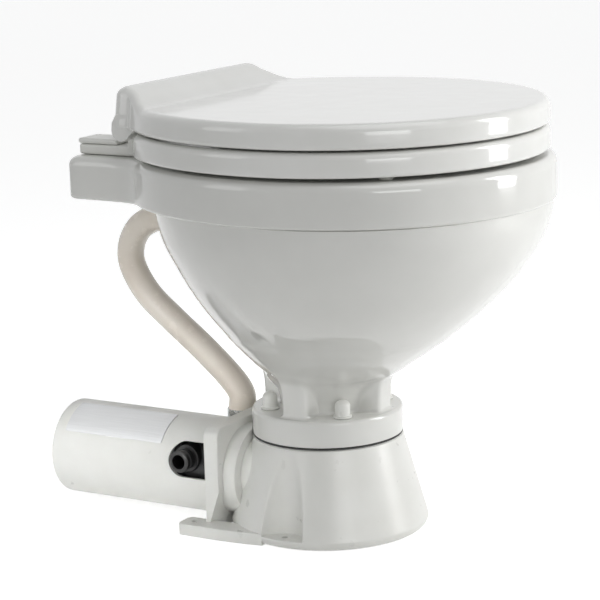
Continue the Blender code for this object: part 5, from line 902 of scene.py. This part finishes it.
def seat_outline(inset):
    """An oval cut straight across the back, with soft corners."""
    half, back, tail = SEAT_HALF - inset, seat_back - inset, SEAT_TAIL_Y - inset
    turn = asin((tail - SEAT_CORNER - SEAT_CENTRE_Y) / back)
    out = oval_side(half, SEAT_FRONT - inset, back, SEAT_CENTRE_Y, turn)
    start_x, start_y = out[-1]
    control_x = start_x - SEAT_CORNER * half * sin(turn) / (back * cos(turn))
    end_x = start_x - 2 * SEAT_CORNER
    for t in np.linspace(0.1, 1, 10):
        out.append((start_x * (1 - t) ** 2 + 2 * control_x * t * (1 - t) + end_x * t * t,
                    start_y + SEAT_CORNER * (1 - (1 - t) ** 2)))
    return both_sides(out + [(end_x * (1 - i / 12), tail) for i in range(1, 13)])


seat_angles = thinned([atan2(y - OPENING_Y, x) for x, y in seat_outline(0)], radians(0.3))


def seat_ring(inset, z):
    """The seat's outer ring at an inset and a height."""
    return at(in_directions(seat_outline(inset), OPENING_Y, seat_angles), z)


def opening_ring(grow, z):
    """The opening's ring, grown by a width, at a height."""
    out = []
    for a in seat_angles:
        r = 1 / sqrt((cos(a) / (OPENING_HALF + grow)) ** 2 + (sin(a) / (OPENING_REACH + grow)) ** 2)
        out.append((r * cos(a), OPENING_Y + r * sin(a), z))
    return out


rings = [seat_ring(SEAT_LOW_EDGE * (1 - s), SEAT_BOTTOM + SEAT_LOW_EDGE * (1 - c))
         for s, c in quarter_turn(4)]
rings += [seat_ring(0, z) for z in (0.3480, 0.3520)]
rings += [seat_ring(SEAT_TOP_EDGE * (1 - c), SEAT_TOP - SEAT_TOP_EDGE * (1 - s)) for s, c in quarter_turn(8)]
lip_top = SEAT_TOP - 0.0004
rings += between(rings[-1], opening_ring(LIP, lip_top), (0.2, 0.4, 0.6, 0.8))
rings += [opening_ring(LIP * (1 - s), lip_top - LIP_DEPTH * (1 - c)) for s, c in quarter_turn(9)]
rings += [opening_ring(0.0012, 0.3455), opening_ring(0.0022, 0.3427), opening_ring(0.0034, SEAT_BOTTOM)]
rings += between(rings[-1], rings[0], (0.25, 0.5, 0.75))
seat = skin(rings, close=True)
EAR_INNER, EAR_OUTER, EAR_RADIUS = 0.0455, 0.0605, 0.0090
ears, holes = [], []
for side in (1, -1):
    low, high = sorted((side * EAR_INNER, side * EAR_OUTER))
    ears.append(block((low, 0.106, PIVOT_Z - 0.0155), (high, PIVOT_Y, PIVOT_Z), 0.0008))
    ears.append(rod(EAR_RADIUS, low, high, "X", PIVOT_LINE, 48, 0.0006))
    holes.append(rod(PIN_HOLE, low - 0.004, high + 0.004, "X", PIVOT_LINE, 32))
seat = shape_with(seat, ears, holes)

# Sprayed enamel on moulded wood: deep gloss with the faint orange peel of a thick coat
enamel = finished("white_enamel_on_moulded_wood", {"Roughness": 0.10, "IOR": 1.5, "Coat Weight": 0.4,
                                                   "Coat Roughness": 0.04},
                  (55, "e4e4e0", "e9e9e6", 3), (20, 0.08, 0.14), [(24, 0.03, 1), (2.6, 0.006, 1)])
keep("seat_ring_enamelled", seat, enamel, "enamel", "seat", body="seat")

# Soft clear vinyl: the light goes into it, and it has gone a little grey
vinyl = finished("clear_vinyl_soft", {"Roughness": 0.25, "IOR": 1.5, "Transmission Weight": 0.45},
                 (4, "c9c9c2", "dadad4", 3), None, [(1.5, 0.02, 2)])


PAD_GAP = 0.0003


def pad(name, node, radius, rest, face, body):
    """A soft pad under a flat face, a little narrower where it comes to rest on the one below."""
    low, high = rest + PAD_GAP, face - PAD_GAP
    middle = (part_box(node)[0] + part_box(node)[1]) / 2
    profile = [(0, high), (radius - 0.0003, high), (radius, high - 0.0003), (radius * 0.93, (low + high) / 2),
               (radius * 0.84, low + 0.0004), (radius * 0.78, low), (radius * 0.3, low + 0.0002),
               (0, low + 0.0003)]
    made = turned(profile, centre=(middle.x, middle.y, 0), steps=40)
    keep(name, made, vinyl, "clear_rubber", node, body=body)


for number in range(1, 5):
    pad(f"seat_pad_{number}", f"seat_buffer_{number}", 0.007, RIM_TOP, SEAT_BOTTOM, "seat")


# Lid: the same enamelled moulded wood, flat over the seat and rising in a soft wave to the hinges,
# where its back is hollowed for the hinge blocks and carries a knuckle at each side.
LID_BOTTOM, LID_TOP, LID_BACK_TOP, LID_EDGE, LID_LOW_EDGE = 0.3640, 0.3850, 0.40099, 0.0075, 0.00375
WAVE_START_Y, WAVE_LENGTH, LEAN, LID_CORNER = 0.098, 0.038, 0.003, 0.009
KNUCKLE_INNER, KNUCKLE_WIDTH, KNUCKLE_RADIUS = 0.0905, 0.0170, 0.0095


def lid_height(y):
    """The height of the lid's top at a place from front to back."""
    share = min(1.0, max(0.0, (y - WAVE_START_Y) / WAVE_LENGTH))
    return LID_TOP + (LID_BACK_TOP - LID_TOP) * share * share * (3 - 2 * share)


def lid_outline(inset, share=0.0):
    """The lid in plan, at a share of the way up its back, which leans forward and draws in."""
    tail_half = LID_TAIL_HALF - inset - LEAN * share
    spot = (tail_half * 1.055, LID_TAIL_Y - LID_TAIL_LENGTH - inset * 0.6)
    return tailed(SEAT_HALF - inset, SEAT_FRONT - inset, SEAT_CENTRE_Y, spot, tail_half,
                  LID_TAIL_Y - LEAN * share - inset, LID_CORNER)


lid_angles = thinned([atan2(y - SEAT_CENTRE_Y, x) for x, y in lid_outline(0)], radians(0.3))


def lid_flat(inset, share=0.0):
    """The lid's outline in the directions that all its rings share."""
    return in_directions(lid_outline(inset, share), SEAT_CENTRE_Y, lid_angles)


# Insets and heights of the underside, whose middle is a shallow tray
underside = ((0.0275, 0.006), (0.0262, 0.0056), (0.0212, 0.0008), (0.0196, 0), (0.014, 0), (0.008, 0))
rings = [at(lid_flat(inset), LID_BOTTOM + rise) for inset, rise in underside]
rings += [at(lid_flat(LID_LOW_EDGE * (1 - s)), LID_BOTTOM + LID_LOW_EDGE * (1 - c))
          for s, c in quarter_turn(5)]
side_start = LID_BOTTOM + LID_LOW_EDGE
for i in range(1, 5):
    rings.append([(x, y, side_start + (lid_height(y) - LID_EDGE - side_start) * i / 5)
                  for x, y in lid_flat(0, 0.7 * i / 5)])
for s, c in quarter_turn(10):
    flat = lid_flat(LID_EDGE * (1 - c), 0.7 + 0.3 * s)
    rings.append([(x, y, lid_height(y) - LID_EDGE * (1 - s)) for x, y in flat])
edge_ring = rings[-1]
for i in range(1, 33):
    share = 1 - (i / 33) ** 1.15
    inward = [(x * share, SEAT_CENTRE_Y + (y - SEAT_CENTRE_Y) * share) for x, y, z in edge_ring]
    rings.append([(x, y, lid_height(y)) for x, y in inward])
lid = skin(rings, caps=True)
# Each knuckle hangs from the lid's corner: a short hollow in front, round below, and up the back
flank = [(0.112, 0.3700), (0.1175, 0.3641), (0.1215, 0.3636), (0.1245, 0.3620), (0.1262, 0.3598)]
flank += arc(PIVOT_Y, PIVOT_Z, KNUCKLE_RADIUS, 205, 357, 19)
flank += [(0.1455, PIVOT_Z), (0.1449, 0.3700), (0.1400, 0.3780), (0.120, 0.3780)]
knuckles, holes = [], []
for side in (1, -1):
    outline = [(side * KNUCKLE_INNER, y, z) for y, z in flank]
    knuckles.append(slab(outline, (side * KNUCKLE_WIDTH, 0, 0), 0.0008))
    holes.append(rod(PIN_HOLE, *sorted((side * 0.0865, side * 0.1038)), "X", PIVOT_LINE, 32))
room = block((-KNUCKLE_INNER, 0.106, 0.3505), (KNUCKLE_INNER, 0.160, 0.3745))
keep("lid_enamelled", shape_with(lid, knuckles, [room] + holes), enamel, "enamel", "lid", body="lid")
for name in ("left", "right"):
    pad(f"lid_pad_{name}", f"lid_buffer_{name}", 0.006, SEAT_TOP, LID_BOTTOM, "lid")


# Hinges: on each side a white block bolted down through the deck, with a knuckle for the pin that
# seat and lid share, a clipped-on cap over the bolt's head, and a wing nut below the deck.
BLOCK_INNER, BLOCK_OUTER, BLOCK_TOP, BLOCK_FRONT, BLOCK_BACK = 0.0615, 0.0895, 0.3475, 0.1275, 0.194
HEAD_HEIGHT, HEAD_RADIUS, HINGE_KNUCKLE, PIN_RADIUS, SEAM_BACK = 0.0035, 0.0078, 0.0085, 0.0030, 0.0085
for name, side in (("right", 1), ("left", -1)):
    low_x, high_x = sorted((side * BLOCK_INNER, side * BLOCK_OUTER))
    middle_x = side * BLOCK_MIDDLE
    bolt_line = (middle_x, DECK_BOLT_Y, 0)
    hinge_block = block((low_x, BLOCK_FRONT, RIM_TOP + 0.0003), (high_x, BLOCK_BACK, BLOCK_TOP), 0.0022, 4)
    ear = block((low_x, BLOCK_FRONT, 0.3410), (high_x, 0.1415, PIVOT_Z), 0.0006)
    knuckle = rod(HINGE_KNUCKLE, low_x, high_x, "X", PIVOT_LINE, 64, 0.0004)
    head_floor = BLOCK_TOP - HEAD_HEIGHT - 0.0006
    well = turned([(0, 0.334), (0.0042, 0.334), (0.0042, head_floor), (0.0081, head_floor), (0.0081, 0.3515),
                   (0, 0.3515)], "Z", bolt_line, 48)
    pin_way = rod(PIN_HOLE, low_x - 0.004, high_x + 0.004, "X", PIVOT_LINE, 32)
    keep(f"hinge_block_moulded_{name}", shape_with(hinge_block, [ear, knuckle], [pin_way, well]), plastic,
         "moulding", f"hinge_block_{name}")
    low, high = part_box(f"hinge_cap_{name}")
    seam = block((low.x - 0.001, low.y + SEAM_BACK, high.z - 0.0004),
                 (high.x + 0.001, low.y + SEAM_BACK + 0.0005, high.z + 0.001))
    keep(f"hinge_cap_clipped_{name}", shape_with(block(low, high, 0.0018, 4), cut=[seam]), plastic,
         "moulding", f"hinge_cap_{name}")
    low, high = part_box(f"hinge_bolt_{name}")
    bolt = turned([(0, low.z), (0.0034, low.z), (0.0038, low.z + 0.0006), (0.0038, high.z - HEAD_HEIGHT),
                   (HEAD_RADIUS, high.z - HEAD_HEIGHT), (HEAD_RADIUS, high.z - 0.0006), (0.0072, high.z),
                   (0, high.z)], "Z", bolt_line, 40)
    driver = block((middle_x - 0.006, DECK_BOLT_Y - 0.0006, high.z - 0.0015),
                   (middle_x + 0.006, DECK_BOLT_Y + 0.0006, high.z + 0.001))
    keep(f"hinge_bolt_steel_{name}", shape_with(bolt, cut=[driver]), steel, "steel",
         f"hinge_bolt_{name}")
    nut_top = DECK_FLOOR - 0.0003
    nut = turned([(0.0042, nut_top), (0.0091, nut_top), (0.0095, nut_top - 0.0004),
                  (0.0067, nut_top - 0.0068), (0.0063, nut_top - 0.0070), (0.0042, nut_top - 0.0070)],
                 "Z", bolt_line, 48)
    wings = [block((middle_x + a, DECK_BOLT_Y - 0.00175, nut_top - 0.013),
                   (middle_x + b, DECK_BOLT_Y + 0.00175, nut_top - 0.0006), 0.0012)
             for a, b in ((0.0066, 0.0150), (-0.0150, -0.0066))]
    keep(f"hinge_wing_nut_moulded_{name}", shape_with(nut, wings), plastic, "moulding",
         f"hinge_wing_nut_{name}")
    low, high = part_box(f"hinge_pin_{name}")
    pin = rod(PIN_RADIUS, low.x, high.x, "X", PIVOT_LINE, 32, 0.0004)
    keep(f"hinge_pin_steel_{name}", pin, steel, "steel", f"hinge_pin_{name}")


# Motor and rotor: inside the cover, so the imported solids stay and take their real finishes. The can
# is zinc-plated drawn steel, the core stacked plates, the magnets ferrite, the brushes carbon.
METAL, BLACK = {"Metallic": 1.0}, {"IOR": 1.6}
# Zinc plate over drawn steel: cold and bright, with a fine grain
zinc = finished("zinc_plate_bright", METAL, (6, "b4b8bd", "ccd0d4", 5), (3, 0.26, 0.42), [(1.2, 0.008, 2)])
# Sintered bronze soaked in oil: brown gold, pitted by its powder
bronze = finished("sintered_bronze_oiled", METAL, (1.5, "8e6f45", "a98a5a", 5), (0.75, 0.35, 0.5),
                  [(0.3, 0.02, 2)])
# Drawn copper: pink and bright, a little darker by patches
copper = finished("copper_drawn", METAL, (3, "b06c4a", "c98560", 5), (1.5, 0.25, 0.4), [(0.6, 0.006, 2)])
# Pressed carbon: dull black with a soft grain
carbon = finished("carbon_pressed", BLACK, (1.2, "1f1f20", "2e2e2f", 6), (1.2, 0.5, 0.7), [(0.6, 0.02, 2)])
# Fired ferrite: dark grey like slate, faintly mottled
ferrite = finished("ferrite_fired", BLACK, (3, "343436", "454547", 6), (3, 0.45, 0.65), [(1.5, 0.02, 2)])
finishes = {"zinc_plate": zinc, "bronze": bronze, "copper": copper, "carbon": carbon, "magnet": ferrite,
            "steel": steel, "pump_plastic": nylon, "seal_rubber": rubber, "moulding": plastic,
            "clear_rubber": vinyl, "china": china, "enamel": enamel, "hose": hose_pvc, "label": foil}
finish_of = {part["node"]: part["material_slot"] for part in frame["record"]["subparts"]}
for name, thing in frame["nodes"].items():
    for spot in thing.material_slots:
        spot.material = finishes[finish_of[name]]
